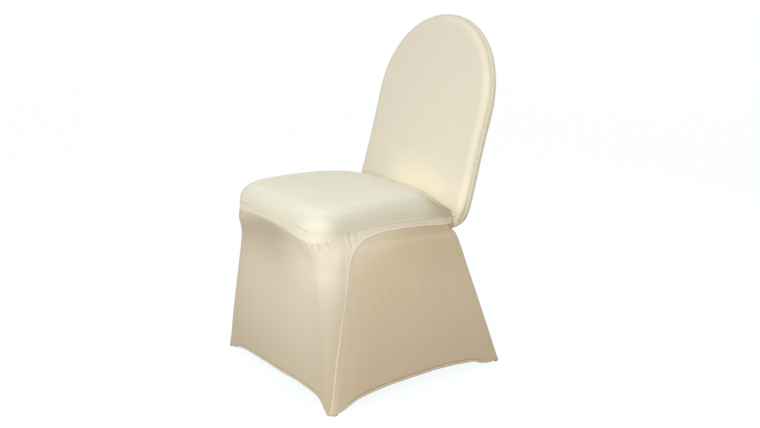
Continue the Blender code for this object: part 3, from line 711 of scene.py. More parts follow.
def rear_skirt(stations):
    """Places of the rear skirt from hem to neck, as one patch."""
    hem = hem_places(stations)
    rear = pairs(NECK, FOOT_SEAM + (NECK_LEVEL - FOOT_SEAM) * LEG_RISE)
    middle = pairs(0, hem[-1, 1] + (NECK_LEVEL - hem[-1, 1]) * LEG_RISE)
    return patch(rear, middle, hem, pairs(stations, NECK_LEVEL),
                 (stations[0] - stations) / stations[0], LEG_RISE)


def hood_rear():
    """The hood's outside, from the edge seam to the middle line, and the rear skirt.

    The rounded edge is the outline, moved outwards along its normal and backwards by the
    profile. Straight spokes follow, and the lowest row is bent on to the skirt.
    """
    out, behind, column = edge_profile(HOOD_EDGE["out"], HOOD_EDGE["behind"])
    inner = np.linspace(0, 1, REAR_COLUMNS + 1)[1:]
    stations = np.concatenate([NECK + (1 - NECK) * column / column[-1], 1 - inner])
    number = carried_on(column, inner, REAR_SHARES)
    places = rear_skirt(stations)
    skirt_rows = dressed_skirt(places)
    tangent = unit(np.gradient(outline[:, :2], axis=0))
    tangent[-1] = (-1, 0)
    away = np.stack([tangent[:, 1], -tangent[:, 0], 0 * tangent[:, 0]], -1)
    edge = outline[:, None] + away[:, None] * out[:, None]
    edge[..., 2] += behind
    hub = back_hub(outline[0, 1], HOOD_MIDDLE)
    face = spokes(edge[:, -1], hub, np.tile(inner, (len(outline), 1)))
    grid = back_point(*np.moveaxis(np.concatenate([edge, face], axis=1), -1, 0))
    reach = np.interp(number, [1, len(HOOD_EDGE["out"]) + 2], [NECK_EDGE_REACH, NECK_REACH])
    grid = bent(grid, skirt_rows[-1], fading(path_length(grid[:, 0])[:, None], reach))
    above = np.zeros(grid.shape[:2])[1:]
    places = np.concatenate([places, pairs(above, above + NECK_LEVEL)])
    return (both_halves(np.concatenate([skirt_rows, grid[1:]])),
            np.concatenate([places, left_stations(places[-2::-1])]))


hood_rear_points, rear_places = hood_rear()
print("Grid of the outside back:", hood_rear_points.shape[:2])

# %% [markdown]
# ## Foot pockets
#
# A small cup is sewn inside each foot of the skirt and hooks under the chair's leg, which
# is what keeps the cover taut. Its outer wall follows the skirt, its sole lies on the
# floor, and its inner wall is a curve that rises behind the foot. Profiles run from the
# top of the wall down, round the sole's edge and in to its middle.

# %% A foot pocket
POCKET_RISE = 0.024       # top of the inner wall
POCKET_LEAN = 0.008       # how far that top leans inwards
POCKET_BULGE = 0.15       # how far the inner wall's corner passes a square one
POCKET_ROUND = 0.0032     # rounded edge of the sole
POCKET_START = 0.125      # share of the inner wall before its top rises at each end
POCKET_SLOPE = 0.2        # and share over which it rises
POCKET_OUTER = 37         # points of the outer wall and of the inner one
POCKET_INNER = 25
POCKET_ROWS = 8


def foot_pocket(near, far):
    """A cup round one foot, from one station of the skirt's hem to another.

    The inner wall follows a quadratic curve through the foot's inner corner, and the
    sole's edge is a quarter circle.
    """
    outer = np.linspace(near, far, POCKET_OUTER)
    wall, ground = skirt(outer, FOOT_SEAM), skirt(outer, 0)
    corner = np.array([ground[-1, 0], ground[0, 1], 0])
    if ground[0, 1] > 0:
        corner = np.array([ground[0, 0], ground[-1, 1], 0])
    middle = ground[POCKET_OUTER // 2]
    lean = POCKET_LEAN * unit(corner - middle)
    corner += POCKET_BULGE * (corner - middle)
    t = np.linspace(0, 1, POCKET_INNER + 2)[1:-1, None]
    inner = ground[-1] * (1 - t) ** 2 + 2 * corner * t * (1 - t) + ground[0] * t ** 2
    edge_height = (wall[-1, 2] * (1 - t) + wall[0, 2] * t)[:, 0]
    lift = 1 - fading((np.minimum(t, 1 - t) - POCKET_START)[:, 0], POCKET_SLOPE)
    top = inner + lift[:, None] * lean
    top[:, 2] = edge_height + (POCKET_RISE - edge_height) * lift
    foot, top = np.concatenate([ground, inner]), np.concatenate([wall, top])
    centre = foot.mean(axis=0)
    inward = POCKET_ROUND * unit(centre - foot)
    upward = np.array([0, 0, POCKET_ROUND])
    down = np.linspace(0, 1, POCKET_ROWS, endpoint=False)[:, None, None]
    angle = np.linspace(0, math.pi / 2, POCKET_ROWS)[:, None, None]
    sole = np.linspace(0, 1, POCKET_ROWS + 1)[1:, None, None]
    loops = np.concatenate([
        top * (1 - down) + (foot + upward) * down,
        foot + (1 - np.cos(angle)) * inward + (1 - np.sin(angle)) * upward,
        (foot + inward) * (1 - sole) + centre * sole])
    return np.concatenate([loops, loops[:, :1]], axis=1)


print("Grid of a foot pocket:", foot_pocket(3.0, 4.0).shape[:2])

# %% [markdown]
# ## Relief: seams, folds and the hem
#
# A seam is not a line but two turned edges of cloth, so it stands up as a soft ridge.
# Folds are troughs or ridges too. All of them are heights that depend on how far a point
# is from a line, and each point is later moved along its normal by their sum. First come
# the lines, on both sides of the cover, and the way to measure from them.

# %% Seam lines and distances from them
LINE_STEP = 0.004         # seam lines are read in steps of about this length
PALE_EDGE_TOP = 0.36      # the back's edge seam is palest up to this distance up the back
TURN_SAMPLES = 80         # samples of the strip's seam that make up its turn
NECK_SAMPLES, CREASE_SAMPLES, REAR_SAMPLES = 40, 60, 100
CORNER_PART = (3.35, 4.0, 20)     # the seat seam's stations and samples at its front corner
RIM_PART = (3.3, 6.7, 60)         # at its front
SIDE_PART = (2.3, 3.1, 40)        # and at its right side
SEAT_RIM = np.array([0, 0.0085, 0.047])   # the seat's rounded rim, from the seat seam
SIDE_RIM = np.array([-0.0085, 0, 0.047])  # the same at the seat's right side


def both(line):
    """A line and its mirror image."""
    return [line, mirrored(line)]


def seam_part(first, last, samples):
    """Points of the seat seam from one station to another."""
    return dressed_skirt(straight((first, SEAT_SEAM), (last, SEAT_SEAM), samples))


def distance_to(points, line):
    """Least distance from each point to the straight pieces of a line.

    The nearest place on a piece is the point's shadow on it, kept between its ends.
    """
    line = at_shares(line, np.linspace(0, 1, max(2, int(path_length(line)[-1] / LINE_STEP))))
    start, step = line[:-1], np.diff(line, axis=0)
    square = (step ** 2).sum(1)
    toward = points @ step.T - (start * step).sum(1)
    t = np.clip(toward / square, 0, 1)
    away = (points ** 2).sum(1)[:, None] - 2 * points @ start.T + (start ** 2).sum(1)
    return np.sqrt(np.clip((away - 2 * t * toward + t * t * square).min(1), 0, None))


leg_edges = [skirt(*leg_line.T), skirt(*left_leg_line.T)]
strip_edges = [skirt(*strip_way.T), skirt(*left_stations(strip_way).T)]
turn_edges = both(strip_edges[0][:TURN_SAMPLES])
neck_edges = both(skirt(*straight(seat_corner, neck_corner, NECK_SAMPLES).T))
rear_edges = both(skirt(*straight((NECK, FOOT_SEAM), neck_corner, REAR_SAMPLES).T))
crease_edges = both(back_point(*crease_at(np.linspace(0, 1, CREASE_SAMPLES)).T))
seat_edge = dressed_skirt(seat_seam)
seat_corner_edge = seam_part(*CORNER_PART)
seat_rim, side_rim = seam_part(*RIM_PART) + SEAT_RIM, seam_part(*SIDE_PART) + SIDE_RIM
hood_edge = both_halves(back_point(*outline.T))
right_edge = hood_edge[:len(outline)]
pale_edge = right_edge[outline[:, 1] < PALE_EDGE_TOP]
print("Length of the seat seam, in metres:", round(path_length(seat_edge)[-1], 3))

# %% [markdown]
# ### How the relief is shared out
#
# At the leg seam the edge is turned in under the front skirt, so the front skirt shows a
# light ridge and the side panel only a fine trough beside it. Every height fades to
# nothing right at the seam, so that the two panels still meet there.

# %% Heights of seams, hem and open cloth
RIDGE_HEIGHT = 0.0009     # turned edge under the cloth
FLAT_RIDGE = 0.0004       # the same where the cushion presses it flat
RIDGE_PLACE = 0.0020      # its distance from the seam
RIDGE_WIDTH = 0.0012
SECOND_PLACE = 0.0095     # stitched inner edge of that turning
SECOND_SHARE = 0.33       # its height, as a share of the ridge's
TROUGH_DEPTH = 0.0002     # the cloth is drawn in on the other side of a seam
TROUGH_PLACE = 0.0018
MEETING = 0.0005          # relief fades to nothing this close to a seam
BAND_PUFF = 0.0006        # the turned hem is a little thicker than the cloth
SWELL = 0.0004            # slow unevenness of the stretched cloth
SWELL_WAYS = ((9.0, 3.0, 5.0), (-4.0, 8.0, 7.0), (16.0, -5.0, 3.0), (3.0, 17.0, -9.0))
SHOULDER = 0.006          # bulge below the seat's front corners, its reach and its middles
SHOULDER_REACH = np.array([0.120, 0.085, 0.030])
SHOULDER_PLACES = dressed_skirt(np.array([(3.6, 0.396), (6.4, 0.396)]))


def ridge(distance, height):
    """A seam's turned edge: a ridge, and the faint line of its inner stitching."""
    return height * (bell(distance - RIDGE_PLACE, RIDGE_WIDTH)
                     + SECOND_SHARE * bell(distance - SECOND_PLACE, RIDGE_WIDTH))


def shoulder(points):
    """A broad low bulge, where the cloth is drawn straight down from the front corners.

    It falls as the exponential of minus the squared distance, counted in reaches.
    """
    away = [np.sum(((points - place) / SHOULDER_REACH) ** 2, axis=1) for place in SHOULDER_PLACES]
    return SHOULDER * np.exp(-np.min(away, axis=0))


def swell(points):
    """Slow waves over the whole cloth: the mean of a few sines of place."""
    waves = [np.sin(points @ np.array(way) * math.pi + number)
             for number, way in enumerate(SWELL_WAYS)]
    return SWELL * sum(waves) / len(waves)


print("A seam ridge is", 1000 * RIDGE_HEIGHT, "mm high")

# %% [markdown]
# ### Folds listed one by one
#
# Short puckers hang below the seat's front corners, a wrinkle or two lies on the seat
# beside them, and furrows run into the neck, where five layers of cloth come together.
# Each row gives where a fold starts and ends, its half width and its height, which is
# negative for a trough. A pucker that starts above the seam is cut off by it, and so
# looks deepest there.

# %% Tables of folds
SKIRT_FOLDS = table(
    "station level station_to level_to width height",
    (3.97, 0.44, 3.96, 0.421, 0.002, -0.0011), (3.86, 0.44, 3.86, 0.42, 0.0018, 0.001),
    (3.745, 0.441, 3.75, 0.411, 0.002, -0.0023), (3.66, 0.441, 3.66, 0.413, 0.0017, 0.0015),
    (3.575, 0.441, 3.565, 0.406, 0.002, -0.0024), (3.45, 0.441, 3.45, 0.411, 0.0018, 0.0015),
    (3.335, 0.441, 3.3, 0.411, 0.002, -0.0022), (3.24, 0.441, 3.21, 0.412, 0.0018, 0.0013),
    (2.96, 0.438, 2.958, 0.406, 0.0019, -0.0015), (2.937, 0.434, 2.94, 0.401, 0.0018, 0.0011),
    (2.905, 0.437, 2.913, 0.396, 0.0022, -0.0032), (2.88, 0.434, 2.885, 0.406, 0.0018, 0.0012),
    (2.841, 0.435, 2.85, 0.404, 0.002, -0.0019), (3.19, 0.406, 3.17, 0.348, 0.0045, 0.0009),
    (3.07, 0.408, 3.06, 0.344, 0.004, 0.0009), (2.97, 0.4, 2.965, 0.34, 0.0035, 0.0008))
NECK_FOLDS = table(
    "station level station_to level_to width height",
    (2.06, 0.434, 1.7, 0.393, 0.0026, -0.0026), (2.036, 0.434, 1.6, 0.396, 0.0022, 0.0018))
SEAT_FOLDS = table(
    "x      y       z       x_to    y_to    z_to    width   height",
    (0.112, -0.228, 0.4505, 0.164, -0.226, 0.4500, 0.0032, -0.0012),
    (0.130, -0.228, 0.4550, 0.168, -0.225, 0.4545, 0.0030, 0.0007),
    (0.148, -0.228, 0.4460, 0.184, -0.214, 0.4480, 0.0030, -0.0011),
    (0.135, 0.150, 0.4700, 0.190, 0.190, 0.4380, 0.0170, -0.0016))
BACK_FOLDS = table(
    "x      up      x_to    up_to   width  height",
    (0.1925, -0.0060, 0.1790, -0.0390, 0.0024, -0.0012),
    (0.1980, -0.0060, 0.1850, -0.0360, 0.0026, 0.0007))
LEFT_SHARE = 0.5          # the folds on the left are this much as deep
FOLD_POWER = 0.7          # below one, a fold keeps its height nearer to its ends


def on_the_skirt(station, level):
    """Points on the skirt's surface."""
    return dressed_skirt(pairs(station, level))


def on_the_back(x, up):
    """Points on the inside back's flat face."""
    return back_point(x, up, 0 * x - FACE_DEPTH)


def in_space(x, y, z):
    """Points from their three coordinates."""
    return np.stack([x, y, z], -1)


def soft_fold(points, start, end, width, height):
    """A bell across the way from start to end, times a power of a sine along it."""
    way = end - start
    t = np.clip(((points - start) @ way) / (way @ way), 0, 1)
    away = np.linalg.norm(points - start - t[:, None] * way, axis=1)
    return height * bell(away, width) * np.sin(math.pi * t) ** FOLD_POWER


def folded(points, function, folds):
    """Sum of the folds of a table at some points, on the right side and on the left."""
    *places, width, height = folds.values()
    half = len(places) // 2
    starts, ends = function(*places[:half]), function(*places[half:])
    rows = [*zip(starts, ends, width, height),
            *zip(mirrored(starts), mirrored(ends), width, height * LEFT_SHARE)]
    return sum(soft_fold(points, *row) for row in rows)


print("Folds on each side:", sum(len(folds["width"]) for folds in (
    SKIRT_FOLDS, NECK_FOLDS, SEAT_FOLDS, BACK_FOLDS)))

# %% [markdown]
# ## From grids to cloth
#
# Each panel becomes one mesh. Its grids go in as arrays, with the cloth's own flat
# coordinates in metres as a UV map, so that the knit follows the cloth round every bend.
# Grids that share a row of points are welded there.

# %% Flat coordinates
UP_THE_BACK = (0.0, math.sin(BACK_TILT), math.cos(BACK_TILT))


def skirt_flat(points, places):
    """Across: the length along a row from its middle. Up: the level."""
    across = path_length(points)
    return pairs(across - across[:, points.shape[1] // 2, None], places[..., 1])


def spoke_flat(points, axis):
    """The hub's own place, plus the length along the spoke in the spoke's direction."""
    length = path_length(points[:, ::-1])[:, ::-1]
    plane = pairs(points[..., 0], points @ np.array(axis))
    return plane[:, -1:] + length[..., None] * unit(plane[:, :1] - plane[:, -1:])


seat_flat = spoke_flat(seat_points, (0, 1, 0))
print("The seat's cloth reaches, in metres:", np.ptp(seat_flat, axis=(0, 1)).round(3))

# %% [markdown]
# ### Welding and raising
#
# The values of every point, such as its height, are stored with the mesh under a name.
# The mesh is turned to face outwards, and its points then move along their normals.

# %% Grids joined into one open sheet
JOIN = 0.00002            # points closer than this are one


def in_one(grids):
    """The points of several grids as one list."""
    return np.concatenate([grid.reshape(-1, grid.shape[-1]) for grid in grids])


def grid_faces(rows, columns):
    """Quads of a grid of points, by the points' numbers."""
    number = np.arange(rows * columns).reshape(rows, columns)
    corners = [number[:-1, :-1], number[:-1, 1:], number[1:, 1:], number[1:, :-1]]
    return np.stack(corners, -1).reshape(-1, 4)


def joined_mesh(name, grids, flats, values):
    """Put grids of points into one mesh, with a UV map and values for each point."""
    mesh = bpy.data.meshes.new(name)
    offset = np.cumsum([0] + [grid.shape[0] * grid.shape[1] for grid in grids[:-1]])
    faces = np.concatenate([grid_faces(*grid.shape[:2]) + start
                            for grid, start in zip(grids, offset)])
    mesh.from_pydata(in_one(grids), [], faces)
    mesh.uv_layers.new(name="cloth").data.foreach_set("uv", in_one(flats)[faces.ravel()].ravel())
    for key, value in values.items():
        mesh.attributes.new(key, "FLOAT", "POINT").data.foreach_set("value", value)
    shape = bmesh.new()
    shape.from_mesh(mesh)
    bmesh.ops.remove_doubles(shape, verts=shape.verts, dist=JOIN)
    shape.to_mesh(mesh)
    shape.free()
    return mesh


def raised(mesh, heart):
    """Turn the faces away from a point inside, and move each point out by its height."""
    count = len(mesh.vertices)
    points, normals, height = np.zeros(count * 3), np.zeros(count * 3), np.zeros(count)
    mesh.vertices.foreach_get("co", points)
    mesh.vertex_normals.foreach_get("vector", normals)
    mesh.attributes["height"].data.foreach_get("value", height)
    points, normals = points.reshape(-1, 3), normals.reshape(-1, 3)
    if ((points - np.array(heart)) * normals).sum() < 0:
        mesh.flip_normals()
        normals = -normals
    points = points + normals * height[:, None] - MIDDLE
    mesh.vertices.foreach_set("co", points.astype(np.float32).ravel())
    mesh.attributes.remove(mesh.attributes["height"])
    mesh.shade_smooth()
    mesh.update()


print("A grid of 3 by 3 points has", len(grid_faces(3, 3)), "faces")

# %% [markdown]
# ### Tones and shade
#
# Beside its height, each point has a *tone*: a turned edge has two more layers of cloth
# under it and looks lighter, and its ridge also gets a painted highlight, while troughs
# and stitched grooves get painted shade. The cloth's material reads the tone, so this
# painted light and shade stays on the cloth whatever the lamps do.

# %% Tones of seams and hem
LEG_TONE = 1.0            # pale of the leg seam's ridge: extra layers and painted highlight
STRIP_TONE = 0.70         # the same on the seam below the seat's side
SEAT_TONE = 0.45          # and on the seat's own seam
TONE_WIDTH = 0.0021
GROOVE_TONE = -0.18       # painted shade in the trough beside a seam
STITCH_TONE_WIDTH = 0.0017
HEM_START = 0.012         # beside a foot the hem starts over this rise of its line
HEM_TONE = 0.38           # painted highlight on the hem's band, painted shade in its groove and fold
HEM_GROOVE_TONE = -1.0
HEM_FOLD_TONE = -0.45
FOLD_TONE = 0.45          # painted highlight on a ridge, painted shade in a trough, per seam ridge height


def seam_values(points, ridges, troughs):
    """Height and tone of a panel's ridges, each with its own tone, and of its troughs."""
    height, tone = np.zeros(len(points)), np.zeros(len(points))
    for line, strength, high in ridges:
        distance = distance_to(points, line)
        height += ridge(distance, high)
        # the ridge's tone: lighter for its extra layers, and painted highlight
        tone += strength * bell(distance - RIDGE_PLACE, TONE_WIDTH)
    for line in troughs:
        groove = bell(distance_to(points, line) - TROUGH_PLACE, RIDGE_WIDTH)
        height -= TROUGH_DEPTH * groove
        # painted shade in the trough
        tone += GROOVE_TONE * groove
    return height, tone


def hem_values(places):
    """Height and tone of the hem: a band with painted highlight, painted shade at fold and groove.
    """
    start = hem_level(places[..., 0])
    over = places[..., 1] - start
    clear = 1 - fading(start - FOOT_SEAM, HEM_START)
    round_band = np.sin(math.pi * np.clip(over / HEM_WIDTH, 0, 1))
    tone = (HEM_TONE * round_band ** 2 * (over < HEM_WIDTH) + HEM_FOLD_TONE * bell(over, HEM_STITCH)
            + HEM_GROOVE_TONE * bell(over - HEM_WIDTH, STITCH_TONE_WIDTH))
    return clear * BAND_PUFF * round_band, clear * tone


print("The hem's groove has a tone of", HEM_GROOVE_TONE)

# %% [markdown]
# The skirt at the seat's front corners lies on the pale cushion and gets a painted
# highlight, which is a tone as well. A second value is painted shade: it says how little
# light reaches a place: the crease, the neck, under the seat's edge and on the rounded
# corners above the feet.

# %% Painted highlight and shade
PALE = 0.95               # painted highlight on the skirt at the seat's front corners, over the cushion
PALE_STATION = 3.7        # it is palest up to here and fades out over the next stations
PALE_FADE = 1.2
PALE_FALL = 0.120         # and over this height
UNDER_SHADE = 0.49        # shade under the seat's front edge
UNDER_DROP = 0.050        # it is deepest this far below the seam
UNDER_FALL = 0.085
UNDER_STATION = 4.3       # it starts here and is full after the next stations
UNDER_FADE = 0.9
STRIP_SHADE = 0.20        # shade on the strips under the seat's sides, towards the back
STRIP_SHADE_END = (2.25, 0.60)  # it fades out forwards over these stations
LEG_SHADE = 0.28          # shade on the rounded corner above a front foot
LEG_SHADE_PLACE = (3.5, 0.55)   # its middle and half width
LEG_SHADE_TOP = (0.25, 0.14)    # it fades out upwards over these levels
CREASE_SHADE = 0.110      # the seat is shaded this far from the crease
# the line of the deepest shade, down the neck
NECK_HOLLOW = np.array([(0.166, 0.166, 0.456), (0.178, 0.181, 0.449), (0.187, 0.195, 0.437)])


def painted_corner_light(places):
    """Painted highlight below the seat's front corners and on the strips under its sides.

    It is full back from the corner, fades towards the front's middle, and fades down
    the leg as a bell.
    """
    station, level = places[..., 0], places[..., 1]
    side = np.where(station > 5, LEFT_SHARE, 1)
    return PALE * (side * fading(right_station(station) - PALE_STATION, PALE_FADE)
                   * bell(SEAT_SEAM - level, PALE_FALL))


def under_shade(places):
    """Shade under the seat's front edge, on the strips, and on the corners above the feet.

    The first is absent at the right corner and fades downwards, and the last fades upwards.
    """
    station, level = places[..., 0], places[..., 1]
    half = right_station(station)
    under = UNDER_SHADE * ((1 - fading(station - UNDER_STATION, UNDER_FADE))
                           * bell(SEAT_SEAM - UNDER_DROP - level, UNDER_FALL))
    middle, wide = LEG_SHADE_PLACE
    low, fade = LEG_SHADE_TOP
    corner = LEG_SHADE * bell(half - middle, wide) * fading(level - low, fade)
    end, reach = STRIP_SHADE_END
    return under + corner + STRIP_SHADE * fading(half - end, reach)


def hollow_values(points, along_crease, at_neck, reach):
    """How shaded a point lies: near the crease, and more so near its two ends."""
    crease = np.min([distance_to(points, line) for line in crease_edges], axis=0)
    neck = np.min([distance_to(points, line) for line in both(NECK_HOLLOW)], axis=0)
    return along_crease * fading(crease, CREASE_SHADE) + at_neck * fading(neck, reach)


print("Shade on the front skirt, at most:", round(float(under_shade(front_places[1]).max()), 2))

# %% [markdown]
# ### A panel
#
# All of this comes together here. The heights, tones and shade of a panel are summed, its
# mesh is made and raised, and a Solidify modifier gives the cloth its thickness inwards.

# %% One panel of cloth
CLOTH = 0.0010            # thickness of the cloth that shows


def added(name, data):
    """A new object in the scene, for a mesh, a lamp or a camera."""
    made = bpy.data.objects.new(name, data)
    bpy.context.scene.collection.objects.link(made)
    return made


def panel(name, grids, flats, heart, ridges, troughs, folds=(), hems=(), painted_shade=None,
          bulge=False, glow=()):
    """Make one panel's mesh object from its grids, with its relief and tones.

    Each fold table comes with its function, and each line of the glow with the tone
    beside it, mostly painted light or shade, and how far that reaches. The hems are the
    grids' places on the skirt.
    """
    points = in_one(grids)
    height, tone = seam_values(points, ridges, troughs)
    shade = hollow_values(points, *painted_shade) if painted_shade else 0 * tone
    height += swell(points)
    if folds:
        fold = sum(folded(points, *pair) for pair in folds)
        height += fold
        # painted highlight on the folds' ridges, painted shade in their troughs
        tone += FOLD_TONE * fold / RIDGE_HEIGHT
    if bulge:
        height += shoulder(points)
        # painted highlight at the front corners, painted shade under the seat's edge
        tone += painted_corner_light(in_one(hems))
        shade += under_shade(in_one(hems))
    # tones beside lines, mostly painted light and shade
    for line, (strength, reach) in glow:
        tone += strength * fading(distance_to(points, line), reach)
    sewn = [line for line, *_ in ridges] + troughs
    nearest = np.min([distance_to(points, line) for line in sewn], axis=0)
    height *= 1 - bell(nearest, MEETING)
    if hems:
        band, band_tone = hem_values(in_one(hems))
        height += band
        tone += band_tone
    mesh = joined_mesh(name, grids, flats, {"height": height, "tone": tone, "painted_shade": shade})
    raised(mesh, heart)
    piece = added(name, mesh)
    thick = piece.modifiers.new("cloth", "SOLIDIFY")
    thick.thickness = CLOTH
    thick.offset = -1
    print(name, "has", len(mesh.polygons), "faces before it is thickened")
    return piece


print("The cloth is", 1000 * CLOTH, "mm thick")

# %% [markdown]
# ## The cloth
#
# Spandex is a warp knit of fine polyester with a little elastane. Close up it has narrow
# upright ribs, and from a step away it looks even and matt, with faint streaks where it
# is pulled hardest. Three effects make it, and each is a node group so that every panel
# can use it with its own values: the knit, the streaks and a soft mottling. A group only
# hands out numbers. The shader that turns them into cloth stays in each material.

# %% Placing nodes
def node(tree, kind, inputs=(), **settings):
    """Add a node, set its properties, and give or link its inputs by name or number."""
    made = tree.nodes.new(kind)
    for key, value in settings.items():
        setattr(made, key, value)
    for key, value in dict(inputs).items():
        if isinstance(value, bpy.types.NodeSocket):
            tree.links.new(value, made.inputs[key])
        else:
            made.inputs[key].default_value = value
    return made


def group(name, output, **sizes):
    """Start a node group that reads a place and some sizes; return it with its two ends."""
    tree = bpy.data.node_groups.new(name, "ShaderNodeTree")
    tree.interface.new_socket("Place", in_out="INPUT", socket_type="NodeSocketVector")
    for title, value in sizes.items():
        socket = tree.interface.new_socket(title, in_out="INPUT", socket_type="NodeSocketFloat")
        socket.default_value = value
    tree.interface.new_socket(output, in_out="OUTPUT", socket_type="NodeSocketFloat")
    return tree, tree.nodes.new("NodeGroupInput").outputs, tree.nodes.new("NodeGroupOutput").inputs


def math_node(tree, operation, first, second=0.0, clamp=False):
    """One sum, product or other operation on two numbers."""
    return node(tree, "ShaderNodeMath", {0: first, 1: second}, operation=operation,
                use_clamp=clamp).outputs[0]


def mixed(tree, factor, first, second):
    """Mix two colours, each a socket or a plain colour."""
    colours = [value if isinstance(value, bpy.types.NodeSocket) else (*value, 1)
               for value in (first, second)]
    return node(tree, "ShaderNodeMix", {"Factor": factor, 6: colours[0], 7: colours[1]},
                data_type="RGBA").outputs[2]


print("Node kinds used: noise, wave, math, mix and bump")

# %% [markdown]
# ### Knit, streaks and mottling
#
# The knit is upright ribs crossed by finer courses, which are the rows of loops. The
# streaks are noise drawn out along the pull. The mottling is two sizes of soft noise, and
# stands for slight differences in the dye.

# %% The three effects
RIB = 0.0011              # distance from rib to rib
COURSE = 0.0008           # distance from one row of loops to the next
WAVE_TURN = math.tau / 20   # a wave texture of scale 1 repeats after this length
RIB_WOBBLE, COURSE_WOBBLE = 0.4, 0.6   # how much each wanders
COURSE_SHARE = 0.33       # height of the courses, as a share of the ribs'
KNIT_SCALE = 0.75         # brings the sum of both back to one
STREAKS_ACROSS, STREAKS_ALONG = 70.0, 3.0   # streaks in a metre, each way
STREAK_LOW, STREAK_HIGH = 0.3, 0.7   # this part of the noise is spread over the whole range
STREAK_GRAIN = 0.55       # how much the noise's finer waves count
LARGE_SCALE, SMALL_SCALE = 5.0, 38.0
LARGE_SHARE, SMALL_SHARE = 0.6, 0.4


def stretch_knit():
    """Height is mostly the ribs' sine, with a third of the courses' sine on top."""
    tree, start, end = group("stretch knit", "Height")

    def waves(spacing, distortion, direction):
        return node(tree, "ShaderNodeTexWave", {
            "Vector": start["Place"], "Scale": WAVE_TURN / spacing, "Distortion": distortion,
            "Detail": 1.0}, wave_type="BANDS", bands_direction=direction).outputs["Fac"]
    ribs, courses = waves(RIB, RIB_WOBBLE, "X"), waves(COURSE, COURSE_WOBBLE, "Y")
    total = math_node(tree, "ADD", ribs, math_node(tree, "MULTIPLY", courses, COURSE_SHARE))
    tree.links.new(math_node(tree, "MULTIPLY", total, KNIT_SCALE), end["Height"])
    return tree


def tension_streaks():
    """Noise drawn out along the pull, so that it becomes long soft streaks."""
    tree, start, end = group("tension streaks", "Streak",
                             Across=STREAKS_ACROSS, Along=STREAKS_ALONG)
    size = node(tree, "ShaderNodeCombineXYZ", {0: start["Across"], 1: start["Along"], 2: 1.0})
    place = node(tree, "ShaderNodeVectorMath", {0: start["Place"], 1: size.outputs[0]},
                 operation="MULTIPLY")
    noise = node(tree, "ShaderNodeTexNoise", {
        "Vector": place.outputs[0], "Scale": 1.0, "Detail": 3.0, "Roughness": STREAK_GRAIN})
    spread = node(tree, "ShaderNodeMapRange", {
        "Value": noise.outputs["Fac"], 1: STREAK_LOW, 2: STREAK_HIGH})
    tree.links.new(spread.outputs[0], end["Streak"])
    return tree


def soft_mottling():
    """Two sizes of noise, of which the larger counts for more."""
    tree, start, end = group("soft mottling", "Mottle")

    def noise(scale, share):
        made = node(tree, "ShaderNodeTexNoise", {
            "Vector": start["Place"], "Scale": scale, "Detail": 2.0})
        return math_node(tree, "MULTIPLY", made.outputs["Fac"], share)
    total = math_node(tree, "ADD", noise(LARGE_SCALE, LARGE_SHARE),
                      noise(SMALL_SCALE, SMALL_SHARE))
    tree.links.new(total, end["Mottle"])
    return tree


knit_group, streak_group, mottle_group = stretch_knit(), tension_streaks(), soft_mottling()
print("Ribs to the centimetre:", round(0.01 / RIB, 1))

# %% [markdown]
# ### One recipe, a value set for each panel
#
# All panels are cut from the same roll, and their colours are lit and shaded copies of it.
# The seat lies over a pale cushion and gets painted light; the sides hang over empty space
# and get painted shade, warmer and deeper. Each panel has a light and a deep colour, and
# the streaks and the mottling move it between the two. Lower down a third colour takes
# over, a painted shade. The tone mixes in the painted highlight or the groove's painted
# shade, and the painted shade value its own dark colour. Sheen is the soft glow of fine
# fibres seen at a slant.

# %% The cloth's material
ROUGHNESS = 0.86
SHEEN = 0.25
SHEEN_ROUGHNESS = 0.45
KNIT_DEPTH = 0.00007      # how far a rib stands up
KNIT_STRENGTH = 0.5
STREAK_DEPTH = 0.00025
STREAK_STRENGTH = 0.6
SEAM_LIGHT = (0.955, 0.89, 0.735)   # pale of turned edges and cushioned cloth, and of painted highlights
BACK_LIGHT = (0.955, 0.89, 0.67)    # painted warm light on the inside back
SEAM_SHADE = 0.55         # painted shade in grooves and troughs, as a share of the deep colour
LOW_DEEP = 0.94           # the same for streaks low on the skirt
HOLLOW = (0.42, 0.35, 0.22)   # cloth that little light reaches
SKIRT_FALL = (0.40, -0.05)    # over these heights: cloth over empty space, painted shade to the floor
SEAT_FALL = (0.492, 0.452)    # and over these, painted shade down the cushion's edge
